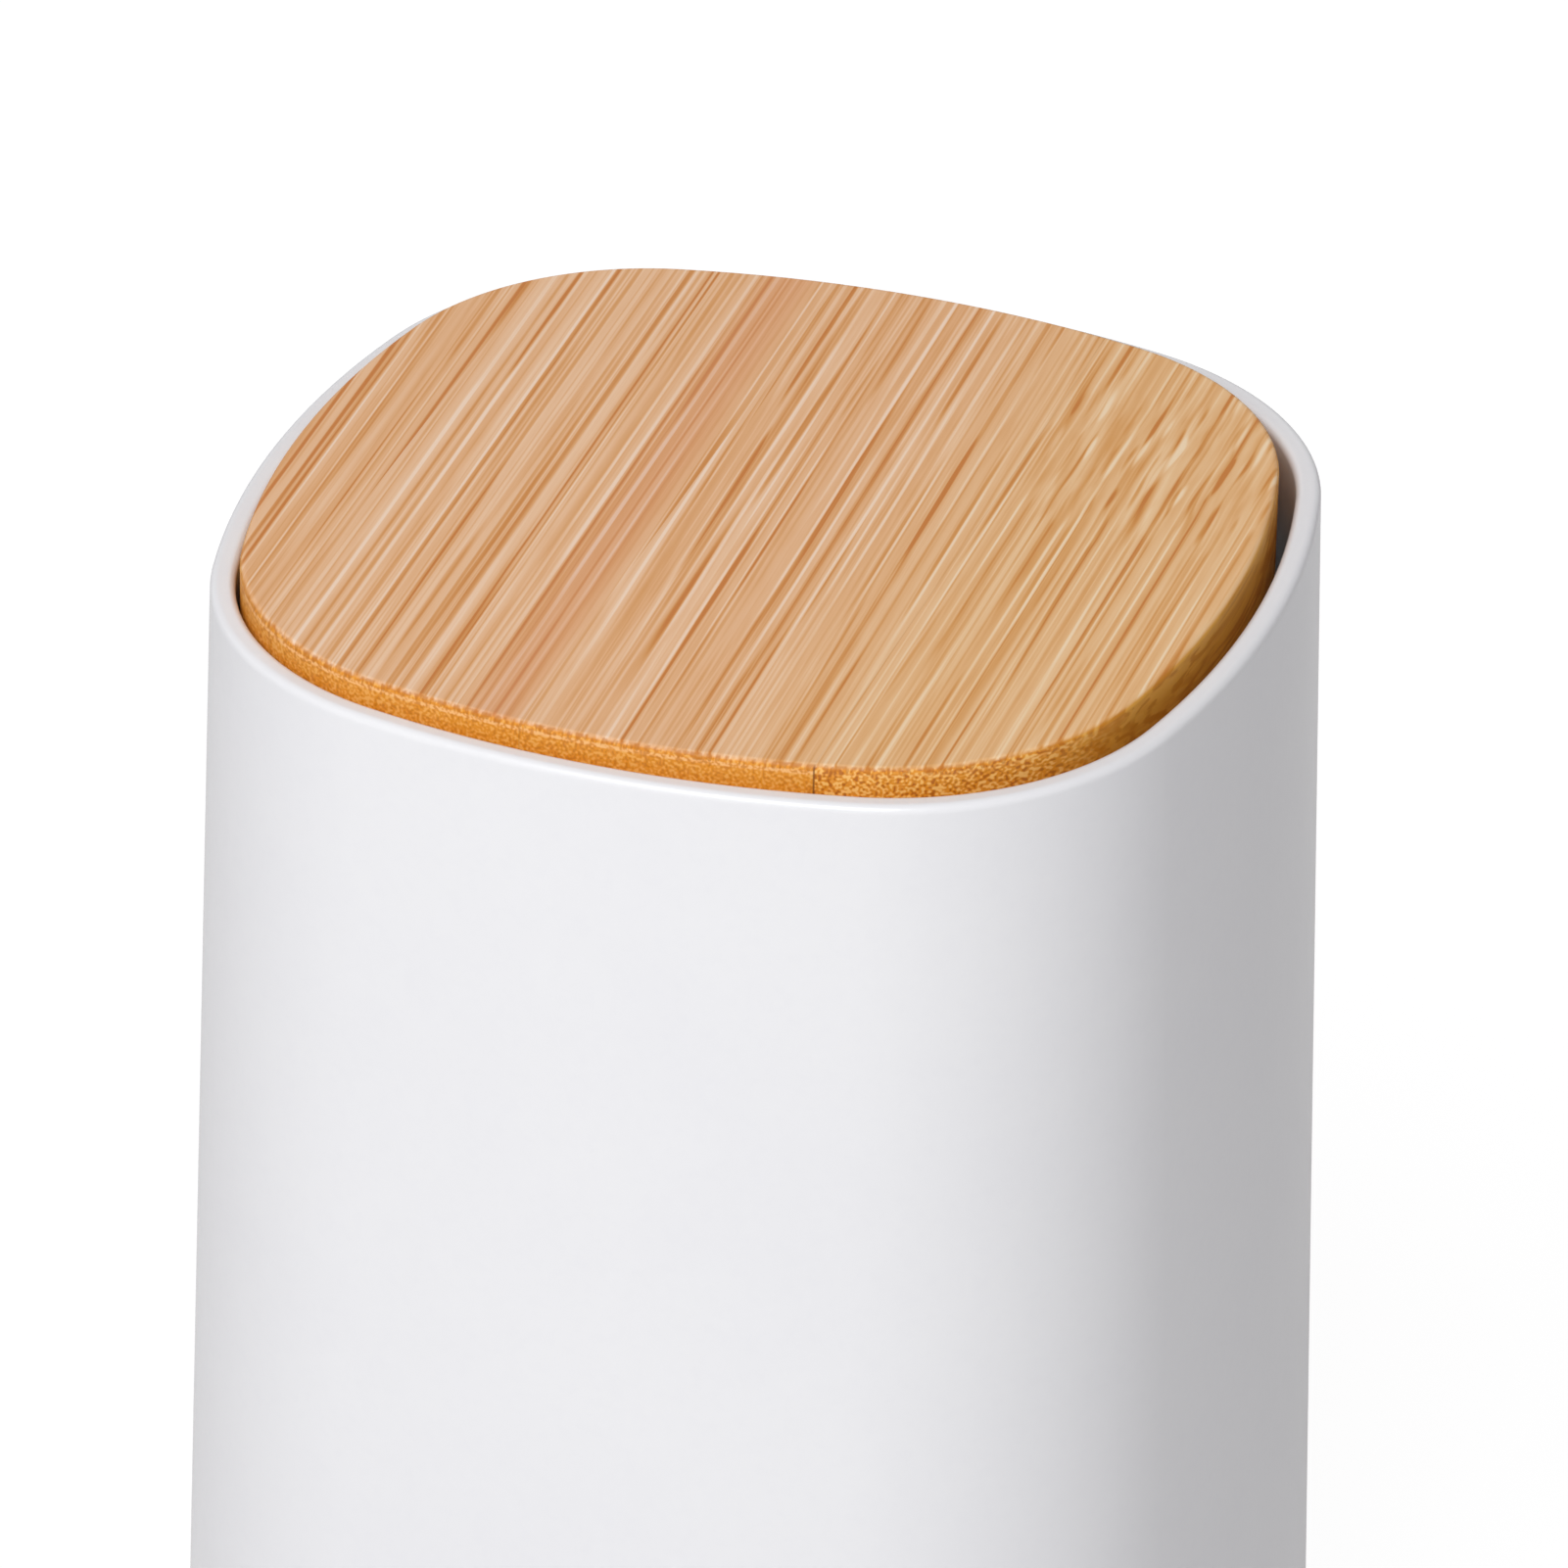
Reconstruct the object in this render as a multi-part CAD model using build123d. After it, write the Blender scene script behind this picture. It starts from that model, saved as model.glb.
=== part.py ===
from build123d import *
import math
import os

# A pop-up toothpick dispenser.  A tapered squircle shell stands on a base plate.  In it a carriage,
# made of the bamboo lid, its carrier, a hollow column and a tray for the toothpicks, slides on a guide
# tower.  A spring in the tower lifts the carriage through a push rod.  A heart-shaped cam on the
# carriage and a springy wire on the tower hold it down: one press of the lid frees it, and the next
# press latches it again.
#
# Frame: +Z up, origin at the middle of the foot pad's underside, the front towards -Y.  Everything is
# drawn with the lid shut and latched.  Sizes are in millimetres and angles in degrees.

# ---------------------------------------------------------------- the whole
toothpick_length = 65.0
headroom = 1.0              # between a standing toothpick and the carrier's ribs
lift = 28.0                 # how far the carriage rises when it is released
overpress = 2.5             # how far below its latched place the lid can be pressed
fit_gap = 0.15              # between still pieces that slip into each other
slide_gap = 0.1             # radial running clearance of the telescope

# ---------------------------------------------------------------- shell
rim_width = 58.0            # across the middles of two opposite sides
side_radius = 60.0          # the gently bowed sides
corner_radius = 18.0        # the round corners, tangent to the sides
outer_draft = 1.4           # the outside widens towards the base
inner_draft = 1.0           # the inside widens less, so the wall thickens downwards
rim_wall = 1.4
rim_round_outer = 0.45
rim_round_inner = 0.45
foot_edge_round = 0.5
guide_rib_width = 2.4
guide_rib_height = 1.3      # above the shell's inside, at the rib's top
guide_rib_above_tray = 8.0  # the ribs end this far above the raised tray's wall
guide_rib_foot = 0.8        # above the base plate
corner_boss_radius = 3.4
corner_boss_inset = 5.4     # boss centre, from the shell's inside at the corner
boss_roof = 0.9             # plastic left beyond a screw's point

# ---------------------------------------------------------------- base
foot_thickness = 1.2
foot_proud = 0.6            # the foot pad stands this far below the base plate
foot_inset = 3.0            # from the base plate's edge
foot_gap = 0.2              # round the pad in its recess
foot_groove_radius = 17.0
foot_groove_width = 1.0
foot_groove = 0.4           # depth
base_thickness = 2.6
base_rebate = 0.8           # cut into the shell's wall for the base plate
lip_height = 2.8
lip_wall = 1.2
ring_height = 1.2           # locates the tower's pedestal
ring_wall = 1.4
base_rib_width = 1.2
base_rib_height = 1.8
lip_clearance = 0.5         # between the lip and the shell's ribs and bosses

# ---------------------------------------------------------------- lid
lid_gap = 0.6               # all round, to the rim's inner edge
lid_thickness = 6.5
lid_proud = 1.3             # how far the lid's top stands above the rim
lid_top_round = 0.35
lid_under_bevel = 0.4
bond_thickness = 0.4
bond_inset = 1.6            # from the lid's outline
carrier_plate = 2.0
carrier_inset = 0.7         # from the lid's outline
skirt_depth = 2.5
skirt_wall = 1.3
carrier_rib_width = 1.2
carrier_rib_depth = 2.0
carrier_rib_count = 8
socket_depth = 2.5          # the ring that takes the column's top
socket_wall = 1.4

# ---------------------------------------------------------------- tray
tray_floor = 1.6
tray_wall = 1.2
tray_wall_height = 8.0
tray_gap = 0.45             # to the shell, where the raised tray fits tightest
tray_slot_gap = 0.3         # to the shell's ribs
tray_edge_round = 0.5

# ---------------------------------------------------------------- column and its bush
column_radius = 9.2
column_wall = 2.0
column_end_wall = 2.4
flange_radius = 13.5        # of the column, the bush and the tower's pedestal
column_flange = 1.8
bush_flange = 1.5
bush_ring_height = 4.7      # above the bush's flange

# ---------------------------------------------------------------- heart cam, on the bush
cam_width = 8.0
cam_back = 1.5              # plastic behind the groove
cam_groove = 1.2            # depth where the wire comes in
track_step = 0.2            # each step down keeps the wire from going back
cam_above_latch = 5.0       # the cam's top above the latched wire
cam_below_latch = 11.0      # the groove's open end below the latched wire
pocket_wall = 1.7           # of the column, round the cam
pin_gap = 0.15              # between the wire's tip and what it rests in
island_half_width = 1.2
track_width = 1.0           # beside the island
island_flank = 3.7          # its straight sides end this far below the latched wire
island_point = 5.6          # its lower point
island_point_offset = 0.3   # towards the way out, so that the wire goes up the other way
horn_height = 0.95          # of the island's taller horn, above the latched wire
horn_bevel = 0.4
anvil_drop = 1.65           # how far the anvil hangs below the track's ceiling
anvil_offset = 0.35         # away from the way out, so that the next press frees the wire
anvil_half_width = 0.9
capture_step = 0.85         # where the wire drops off the way in, from the latched wire
track_bend = 0.6            # the outer walls turn in this far below the island's flanks
track_waist = 6.8           # where the track has narrowed to the entry
entry_half_width = 0.6
funnel_height = 2.0
funnel_half_width = 2.6

# ---------------------------------------------------------------- guide tower
tower_radius = 6.0
tower_bore = 4.0
tower_floor = 1.2           # under the spring
neck_radius = 5.2           # carries the collar
tower_flat = 5.0            # flat for the latch wire, from the axis
neck_flat = 4.5             # keys the collar
neck_above_clip = 1.3
pedestal_height = 8.0       # lifts the whole mechanism, so it sets the dispenser's height
pedestal_wall = 1.6
pedestal_top = 2.4
press_room = 0.4            # left under the carriage when it is pressed right down
stop_ring_radius = 8.0
collar_height = 4.5
collar_flat_gap = 0.25      # between the collar's flat and the cam's face
bumper_thickness = 1.2
bumper_play = 0.3           # inside the column's bore
bumper_stretch = 0.05       # round the tower
stop_gap = 0.1              # between bush and bumper when the carriage is up
clip_thickness = 0.6
clip_radius = 5.85
clip_groove = 0.6           # depth
clip_mouth = 70.0
clip_play = 0.05

# ---------------------------------------------------------------- latch wire and its clamp
wire_diameter = 0.7
wire_gap = 0.15             # between the wire and the tower's flat
wire_bend = 1.0             # bend radius at the wire's axis
wire_tip_gap = 0.15         # between the wire's tip and the groove's floor
clamp_length = 4.6
clamp_width = 9.0
clamp_height = 2.4
clamp_screw_spacing = 4.8
clamp_gap = 0.3             # between the clamp and the wire's bend
clamp_round = 1.0

# ---------------------------------------------------------------- spring and push rod
spring_wire = 0.5           # across its corners: the wire is drawn with four sides
spring_radius = 3.4         # of the coil, at the wire's axis
spring_turn_count = 10
spring_length = 19.0        # with the carriage latched
rod_radius = 2.5
rod_head_radius = 4.5
rod_head = 1.2
rod_foot_radius = 3.7
rod_foot = 1.2
rod_spigot_radius = 2.8
rod_spigot = 5.0
rod_gap = 0.25

# ---------------------------------------------------------------- screws, all countersunk
screw_play = 0.05           # round a thread in its pilot hole
shank_gap = 0.25            # round a shank in a plate that it clamps
screw_point = 1.0
base_screw = (1.3, 2.5, 7.0)        # shank radius, head radius, length
tower_screw = (1.1, 2.1, 5.6)
tray_screw = (1.1, 2.0, 8.0)
carrier_screw = (1.0, 1.9, 7.5)
clamp_screw = (0.9, 1.8, 4.2)
tower_boss_radius = 2.3
tray_boss_radius = 2.4
flange_rim = 0.5            # of the flange, outside the tray screws' heads
carrier_screw_circle = 6.2
carrier_boss_radius = 2.2

# ---------------------------------------------------------------- places worked out from the sizes
recess_z = foot_thickness                   # the base plate's recess lies on the pad
base_z = foot_proud
base_top_z = base_z + base_thickness
spring_z = base_top_z + tower_floor
rod_foot_z = spring_z + spring_length
pedestal_z = base_top_z + pedestal_height
stop_z = pedestal_z + clamp_height
bush_z = stop_z + press_room + overpress
latch_z = bush_z + cam_below_latch
cam_top_z = latch_z + cam_above_latch
tray_z = bush_z + bush_flange
bush_ring_z = tray_z + bush_ring_height
tray_floor_z = tray_z + tray_floor
tray_top_z = tray_floor_z + tray_wall_height
guide_rib_z = tray_top_z + lift + guide_rib_above_tray
bumper_z = bush_ring_z + lift + stop_gap
collar_z = bumper_z + bumper_thickness
clip_z = collar_z + collar_height
tower_z = clip_z + clip_thickness + neck_above_clip
skirt_z = tray_floor_z + toothpick_length + headroom
carrier_z = skirt_z + skirt_depth
bond_z = carrier_z + carrier_plate
lid_z = bond_z + bond_thickness
height = lid_z + lid_thickness              # table to lid: 97 mm
rim_z = height - lid_proud

column_bore = column_radius - column_wall
bush_bore = tower_radius + slide_gap
cam_face = bush_bore
cam_floor = cam_face + cam_groove
pocket_depth = cam_floor + cam_back + fit_gap
pocket_half_width = cam_width / 2 + fit_gap
wire_radius = wire_diameter / 2
wire_y = tower_flat + wire_gap + wire_radius
latch_depth = cam_groove - 2 * track_step
wire_tip_y = cam_face + latch_depth - wire_tip_gap
clamp_y = wire_y + wire_bend + clamp_gap


# ---------------------------------------------------------------- the squircle and bodies made from it
side_centre = rim_width / 2 - side_radius
arc_step = side_radius - corner_radius
corner_centre = (side_centre + math.sqrt(2 * arc_step ** 2 - side_centre ** 2)) / 2
side_half_angle = math.degrees(math.atan2(corner_centre, corner_centre - side_centre))
corner_reach = corner_centre * math.sqrt(2) + corner_radius


def outer_grow(z):
    """How far the shell's outside at height z lies beyond its outline at the rim."""
    return (rim_z - z) * math.tan(math.radians(outer_draft))


def inner_grow(z):
    """The same for the shell's inside, which is negative near the rim."""
    return (rim_z - z) * math.tan(math.radians(inner_draft)) - rim_wall


def middle_grow(z):
    """The middle of the shell's wall."""
    return (outer_grow(z) + inner_grow(z)) / 2


def lip_grow(z):
    """The outside of the base plate's lip."""
    return inner_grow(z) - fit_gap


def lip_inside(z):
    """The inside of the base plate's lip."""
    return lip_grow(z) - lip_wall


lid_grow = -(rim_wall + lid_gap)
carrier_grow = lid_grow - carrier_inset
rebate_grow = inner_grow(base_top_z) + base_rebate
base_grow = rebate_grow - fit_gap
foot_grow = base_grow - foot_inset
tray_grow = inner_grow(tray_top_z + lift) - tray_gap
guide_face = rim_width / 2 + inner_grow(guide_rib_z) - guide_rib_height


def outline(grow, z):
    """The squircle parallel to the rim's outline, grow outside it: four side and four corner arcs."""
    arcs = []
    for quarter in range(4):
        side = CenterArc((side_centre, 0), side_radius + grow, -side_half_angle, 2 * side_half_angle)
        corner = CenterArc((corner_centre, corner_centre), corner_radius + grow,
                           side_half_angle, 90 - 2 * side_half_angle)
        arcs += [Rot(0, 0, quarter * 90) * side, Rot(0, 0, quarter * 90) * corner]
    return Pos(0, 0, z) * make_face(arcs)


def tapered(grow, low, high):
    """A body between two heights whose outline follows grow(z)."""
    return loft([outline(grow(low), low), outline(grow(high), high)], ruled=True)


def straight(grow, low, high):
    """A body of one outline between two heights."""
    return extrude(outline(grow, low), high - low)


def drum(radius, low, high, at=(0, 0)):
    """A round body between two heights."""
    return Pos(at[0], at[1], low) * extrude(Circle(radius), high - low)


def pipe(outer, inner, low, high):
    """A round tube between two heights."""
    return drum(outer, low, high) - drum(inner, low, high)


def block(x, y, z):
    """A box from its (low, high) pairs."""
    spans = (x, y, z)
    middle = [(low + high) / 2 for low, high in spans]
    return Pos(*middle) * Box(*[high - low for low, high in spans])


def flatted(radius, flat, low, high):
    """A round body with a flat towards +Y, this far from its axis."""
    return drum(radius, low, high) - block((-radius, radius), (flat, 2 * radius), (low, high))


def on_circle(radius, angles):
    """Points at the given angles on a circle about the axis."""
    return [(radius * math.cos(math.radians(a)), radius * math.sin(math.radians(a))) for a in angles]


def level_edges(shape, z, loop):
    """The edges of one face that lies at height z: its outer loop, or its inner ones."""
    level = [f for f in shape.faces().filter_by(Axis.Z) if math.isclose(f.center().Z, z, abs_tol=1e-4)]
    widest = max(level, key=lambda f: f.bounding_box().size.X)
    if loop == "outer":
        return widest.outer_wire().edges()
    return [e for wire in widest.inner_wires() for e in wire.edges()]


# ---------------------------------------------------------------- screws
def screw(size):
    """A self-tapping screw along +Z, its head's face at z = 0."""
    radius, head, length = size
    profile = Polyline((0, 0), (head, 0), (radius, head - radius), (radius, length - screw_point),
                       (0, length), close=True)
    return revolve(Plane.XZ * make_face(profile), Axis.Z)


def pilot(size, plates):
    """The hole in which a screw holds, once it has passed through plates of this thickness."""
    radius, _, length = size
    return extrude(Circle(radius + screw_play), length - plates + screw_play)


def countersink(size, depth):
    """The hole and cone for a screw in a plate, from the head's face inwards."""
    radius, head, _ = size
    cone = Polyline((0, 0), (head, 0), (radius, head - radius), (0, head - radius), close=True)
    return extrude(Circle(radius + shank_gap), depth) + revolve(Plane.XZ * make_face(cone), Axis.Z)


base_plates = base_top_z - recess_z
tray_plates = tray_floor_z - bush_z
corner_boss_z = recess_z + base_screw[2] + boss_roof
tray_boss_z = bush_z + tray_screw[2] + boss_roof
carrier_boss_z = bond_z - carrier_screw[2] - boss_roof

base_screw_at = on_circle(corner_reach + inner_grow(base_top_z) - corner_boss_inset, (45, 135, 225, 315))
tower_screw_at = on_circle((flange_radius - pedestal_wall + tower_radius) / 2, (30, 150, 270))
tray_screw_at = on_circle(flange_radius - flange_rim - tray_screw[1], (0, 180, 270))
carrier_screw_at = on_circle(carrier_screw_circle, (30, 150, 270))
clamp_screw_at = [(side * clamp_screw_spacing / 2, clamp_y + clamp_length / 2) for side in (-1, 1)]


def group(one, places, z):
    """The same piece at several places, as separate solids."""
    return Compound(children=[Pos(x, y, z) * one for x, y in places])


# ---------------------------------------------------------------- housing
def outer_shell():
    body = tapered(outer_grow, base_z, rim_z) - tapered(inner_grow, base_z, rim_z)
    body -= straight(rebate_grow, base_z, base_top_z)
    rib = block((guide_face, rim_width), (-guide_rib_width / 2, guide_rib_width / 2),
                (base_top_z + guide_rib_foot, guide_rib_z))
    rib = chamfer(rib.edges().filter_by(Axis.Y).group_by(Axis.Z)[-1].sort_by(Axis.X)[0], guide_rib_height)
    fittings = [Rot(0, 0, quarter * 90) * rib for quarter in range(4)]
    web = block((0, rim_width), (-corner_boss_radius / 2, corner_boss_radius / 2),
                (base_top_z, corner_boss_z))
    for x, y in base_screw_at:
        fittings.append(drum(corner_boss_radius, base_top_z, corner_boss_z, (x, y)))
        fittings.append(Pos(x, y, 0) * Rot(0, 0, math.degrees(math.atan2(y, x))) * web)
    within_wall = tapered(middle_grow, base_top_z, rim_z)
    for fitting in fittings:
        body += within_wall & fitting
    for x, y in base_screw_at:
        body -= Pos(x, y, base_top_z) * pilot(base_screw, base_plates)
    body = fillet(level_edges(body, rim_z, "outer"), rim_round_outer)
    body = fillet(level_edges(body, rim_z, "inner"), rim_round_inner)
    return fillet(level_edges(body, base_z, "outer"), foot_edge_round)


def base_plate():
    lip_z = base_top_z + lip_height
    body = straight(base_grow, base_z, base_top_z) - straight(foot_grow + foot_gap, base_z, recess_z)
    lip = tapered(lip_grow, base_top_z, lip_z) - tapered(lip_inside, base_top_z, lip_z)
    slot = guide_rib_width / 2 + lip_clearance
    for quarter in range(4):
        lip -= Rot(0, 0, quarter * 90) * block((0, rim_width), (-slot, slot), (base_top_z, lip_z))
    for at in base_screw_at:
        lip -= drum(corner_boss_radius + lip_clearance, base_top_z, lip_z, at)
        lip -= Rot(0, 0, math.degrees(math.atan2(at[1], at[0]))) * block(
            (math.hypot(*at), rim_width), (-slot - lip_clearance, slot + lip_clearance), (base_top_z, lip_z))
    ring_inside = flange_radius + fit_gap
    ring = pipe(ring_inside + ring_wall, ring_inside, base_top_z, base_top_z + ring_height)
    body += lip + ring
    rib_end = rim_width / 2 + lip_inside(base_top_z) + lip_wall / 2
    rib_low = slot + base_rib_width / 2
    for quarter in range(4):
        for low in (rib_low, -rib_low - base_rib_width):
            body += Rot(0, 0, quarter * 90) * block((ring_inside + ring_wall / 2, rib_end),
                                                    (low, low + base_rib_width),
                                                    (base_top_z, base_top_z + base_rib_height))
    for x, y in base_screw_at:
        body -= Pos(x, y, recess_z) * countersink(base_screw, base_plates)
    for x, y in tower_screw_at:
        body -= Pos(x, y, recess_z) * countersink(tower_screw, base_plates)
    return body


def foot_pad():
    groove = pipe(foot_groove_radius + foot_groove_width, foot_groove_radius, 0, foot_groove)
    return straight(foot_grow, 0, foot_thickness) - groove


def guide_tower():
    body = drum(flange_radius, base_top_z, pedestal_z)
    body -= pipe(flange_radius - pedestal_wall, tower_radius, base_top_z, pedestal_z - pedestal_top)
    for at in tower_screw_at:
        body += drum(tower_boss_radius, base_top_z, pedestal_z, at)
    body += drum(stop_ring_radius, pedestal_z, stop_z)
    body -= block((-clamp_width / 2, clamp_width / 2), (tower_flat, flange_radius), (pedestal_z, stop_z))
    body += flatted(tower_radius, tower_flat, pedestal_z, collar_z)
    neck = flatted(neck_radius, neck_flat, collar_z, tower_z)
    neck -= pipe(neck_radius, neck_radius - clip_groove, clip_z, clip_z + clip_thickness + clip_play)
    body += neck
    body -= drum(tower_bore, spring_z, tower_z)
    for x, y in tower_screw_at:
        body -= Pos(x, y, base_top_z) * pilot(tower_screw, base_plates)
    for x, y in clamp_screw_at:
        body -= Pos(x, y, pedestal_z) * Rot(180, 0, 0) * pilot(clamp_screw, clamp_height)
    return body


def latch_wire():
    tail_z = pedestal_z + wire_radius
    path = FilletPolyline((0, clamp_y + clamp_length, tail_z), (0, wire_y, tail_z), (0, wire_y, latch_z),
                          (0, wire_tip_y, latch_z), radius=[wire_bend, wire_radius + wire_gap])
    return sweep(Plane(path @ 0, z_dir=path % 0) * Circle(wire_radius), path)


def wire_clamp():
    far = clamp_y + clamp_length
    half = clamp_width / 2 - fit_gap
    body = block((-half, half), (clamp_y, far), (pedestal_z, stop_z))
    body = fillet(body.edges().filter_by(Axis.Z), clamp_round)
    tunnel = wire_radius + screw_play
    body -= block((-tunnel, tunnel), (clamp_y, far), (pedestal_z, pedestal_z + 2 * tunnel))
    for x, y in clamp_screw_at:
        body -= Pos(x, y, stop_z) * Rot(180, 0, 0) * countersink(clamp_screw, clamp_height)
    return body


def guide_collar():
    body = flatted(column_bore - slide_gap, cam_face - collar_flat_gap, collar_z, clip_z)
    body -= flatted(neck_radius + fit_gap, neck_flat + fit_gap, collar_z, clip_z)
    return body


def stop_bumper():
    body = flatted(column_bore - bumper_play, cam_face - collar_flat_gap, bumper_z, collar_z)
    return body - flatted(tower_radius + bumper_stretch, tower_flat + bumper_stretch, bumper_z, collar_z)


def collar_clip():
    top = clip_z + clip_thickness
    body = pipe(clip_radius, neck_radius - clip_groove + clip_play, clip_z, top)
    edge = 2 * clip_radius * math.tan(math.radians(clip_mouth / 2))
    mouth = Polyline((0, 0), (edge, -2 * clip_radius), (-edge, -2 * clip_radius), close=True)
    return body - Pos(0, 0, clip_z) * extrude(make_face(mouth), clip_thickness)


def lift_spring():
    wire = RegularPolygon(spring_wire / 2, 4)
    low = spring_z + spring_wire / 2
    high = rod_foot_z - spring_wire / 2
    coil = Helix((high - low) / spring_turn_count, high - low, spring_radius, center=(0, 0, low))
    end_coil = revolve(Plane.XZ * Pos(spring_radius, 0) * wire, Axis.Z)
    body = sweep(Plane(coil @ 0, z_dir=coil % 0) * wire, coil, is_frenet=True)
    return body + Pos(0, 0, low) * end_coil + Pos(0, 0, high) * end_coil


# ---------------------------------------------------------------- carriage
def bamboo_lid():
    body = straight(lid_grow, lid_z, height)
    body = fillet(level_edges(body, height, "outer"), lid_top_round)
    return chamfer(level_edges(body, lid_z, "outer"), lid_under_bevel)


def bond_pad():
    return straight(lid_grow - bond_inset, bond_z, lid_z)


def lid_carrier():
    body = straight(carrier_grow, skirt_z, bond_z) - straight(carrier_grow - skirt_wall, skirt_z, carrier_z)
    socket = column_radius + fit_gap
    body += pipe(socket + socket_wall, socket, carrier_z - socket_depth, carrier_z)
    rib = block((socket + socket_wall / 2, rim_width), (-carrier_rib_width / 2, carrier_rib_width / 2),
                (carrier_z - carrier_rib_depth, carrier_z))
    within_skirt = straight(carrier_grow - skirt_wall / 2, skirt_z, carrier_z)
    for spoke in range(carrier_rib_count):
        body += within_skirt & Rot(0, 0, spoke * 360 / carrier_rib_count) * rib
    for x, y in carrier_screw_at:
        body -= Pos(x, y, bond_z) * Rot(180, 0, 0) * countersink(carrier_screw, carrier_plate)
    return body


def centre_column():
    end_z = carrier_z - column_end_wall
    lobe_z = cam_top_z + fit_gap + pocket_wall
    lobe = pocket_half_width + pocket_wall
    body = drum(column_radius, tray_floor_z, carrier_z)
    body += drum(flange_radius, tray_floor_z, tray_floor_z + column_flange)
    hood = block((-lobe, lobe), (0, pocket_depth + pocket_wall), (tray_floor_z, lobe_z))
    body += chamfer(hood.edges().filter_by(Axis.X).group_by(Axis.Z)[-1].sort_by(Axis.Y)[-1], pocket_wall)
    for at in tray_screw_at:
        body += drum(tray_boss_radius, tray_floor_z, tray_boss_z, at)
    body -= drum(column_bore, tray_floor_z, end_z)
    body -= block((-pocket_half_width, pocket_half_width), (0, pocket_depth),
                  (tray_floor_z, cam_top_z + fit_gap))
    within_wall = drum(column_radius - column_wall / 2, carrier_boss_z, end_z)
    for at in carrier_screw_at:
        body += within_wall & drum(carrier_boss_radius, carrier_boss_z, end_z, at)
    body -= drum(rod_radius + rod_gap, end_z, carrier_z)
    body -= drum(rod_head_radius + fit_gap, carrier_z - rod_head, carrier_z)
    for x, y in tray_screw_at:
        body -= Pos(x, y, tray_floor_z) * pilot(tray_screw, tray_plates)
    for x, y in carrier_screw_at:
        body -= Pos(x, y, carrier_z) * Rot(180, 0, 0) * pilot(carrier_screw, carrier_plate)
    return body


def push_rod():
    foot_top = rod_foot_z + rod_foot
    spigot = rod_foot_z - rod_spigot
    profile = Polyline((0, carrier_z), (rod_head_radius, carrier_z), (rod_head_radius, carrier_z - rod_head),
                       (rod_radius, carrier_z - rod_head), (rod_radius, foot_top),
                       (rod_foot_radius, foot_top), (rod_foot_radius, rod_foot_z),
                       (rod_spigot_radius, rod_foot_z),
                       (rod_spigot_radius, spigot + rod_gap), (rod_spigot_radius - rod_gap, spigot),
                       (0, spigot), close=True)
    return revolve(Plane.XZ * make_face(profile), Axis.Z)


def cam_track():
    """The heart track as a solid, about the latched wire and with the cam's face at y = 0.

    The wire goes up the -X side, drops off its end, and is caught in the island's notch.  The next
    press leads it under the anvil and up to the +X side, from where it falls back to the entry.
    """
    reach = cam_width
    inside = -track_width
    ceiling = overpress + wire_radius + pin_gap
    side = island_half_width + track_width
    bend = -island_flank - track_bend
    notch = wire_radius + pin_gap
    foot = -cam_below_latch
    anvil = (-anvil_offset, ceiling - anvil_drop)
    low_horn = -wire_radius / 2

    walls = Polyline((-funnel_half_width, foot), (-entry_half_width, foot + funnel_height),
                     (-entry_half_width, -track_waist), (-side, bend), (-side, ceiling),
                     (-anvil_half_width, ceiling), anvil, (anvil_half_width, ceiling), (side, ceiling),
                     (side, bend), (entry_half_width, -track_waist), (entry_half_width, foot + funnel_height),
                     (funnel_half_width, foot), close=True)
    island = Polyline((island_point_offset, -island_point), (-island_half_width, -island_flank),
                      (-island_half_width, low_horn), (0, low_horn), (0, 0), (notch, 0), (notch, horn_height),
                      (island_half_width - horn_bevel, horn_height),
                      (island_half_width, horn_height - horn_bevel), (island_half_width, -island_flank),
                      close=True)
    track = make_face(walls) - (make_face(island) - Circle(notch))

    def leg(corners, low_depth, high_depth):
        """The part of the track within these corners, with a floor that slopes from foot to ceiling."""
        area = make_face(Polyline(*corners, close=True)) & track
        floor = Polyline((inside, -island_point), (low_depth, -island_point), (high_depth, ceiling),
                         (inside, ceiling), close=True)
        slope = Pos(-reach, 0, 0) * extrude(Plane.YZ * make_face(floor), 2 * reach)
        return Pos(0, inside, 0) * extrude(Plane.XZ * area, -2 * reach) & slope

    way_in = leg([(-reach, -island_point), (island_point_offset, -island_point),
                  (island_point_offset, -notch * 2), (-capture_step, -notch * 2),
                  (-capture_step, ceiling), (-reach, ceiling)],
                 cam_groove, cam_groove - 3 * track_step)
    caught = leg([(-capture_step, -notch * 2), (notch, -notch * 2), (notch, horn_height), anvil,
                  (-capture_step, ceiling)], latch_depth, latch_depth)
    freed = leg([anvil, (notch, horn_height), (reach, horn_height), (reach, ceiling),
                 (-anvil_offset, ceiling)],
                cam_groove - track_step, cam_groove - track_step)
    way_out = leg([(island_point_offset, -island_point), (reach, -island_point), (reach, horn_height),
                   (notch, horn_height), (notch, -notch * 2), (island_point_offset, -notch * 2)],
                  cam_groove - 2 * track_step, cam_groove + 2 * track_step)
    entry = make_face(walls) & make_face(Polyline((-reach, foot), (reach, foot), (reach, -island_point),
                                                  (-reach, -island_point), close=True))
    entry = Pos(0, inside, 0) * extrude(Plane.XZ * entry, inside - cam_groove)
    return way_in + caught + freed + way_out + entry


def cam_bush():
    body = drum(flange_radius, bush_z, tray_z) + drum(column_bore - fit_gap, bush_z, bush_ring_z)
    body += block((-cam_width / 2, cam_width / 2), (cam_face, cam_floor + cam_back), (bush_z, cam_top_z))
    body -= drum(bush_bore, bush_z, bush_ring_z)
    body -= Pos(0, cam_face, latch_z) * cam_track()
    for x, y in tray_screw_at:
        body -= Pos(x, y, bush_z) * countersink(tray_screw, bush_flange)
    return body


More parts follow.
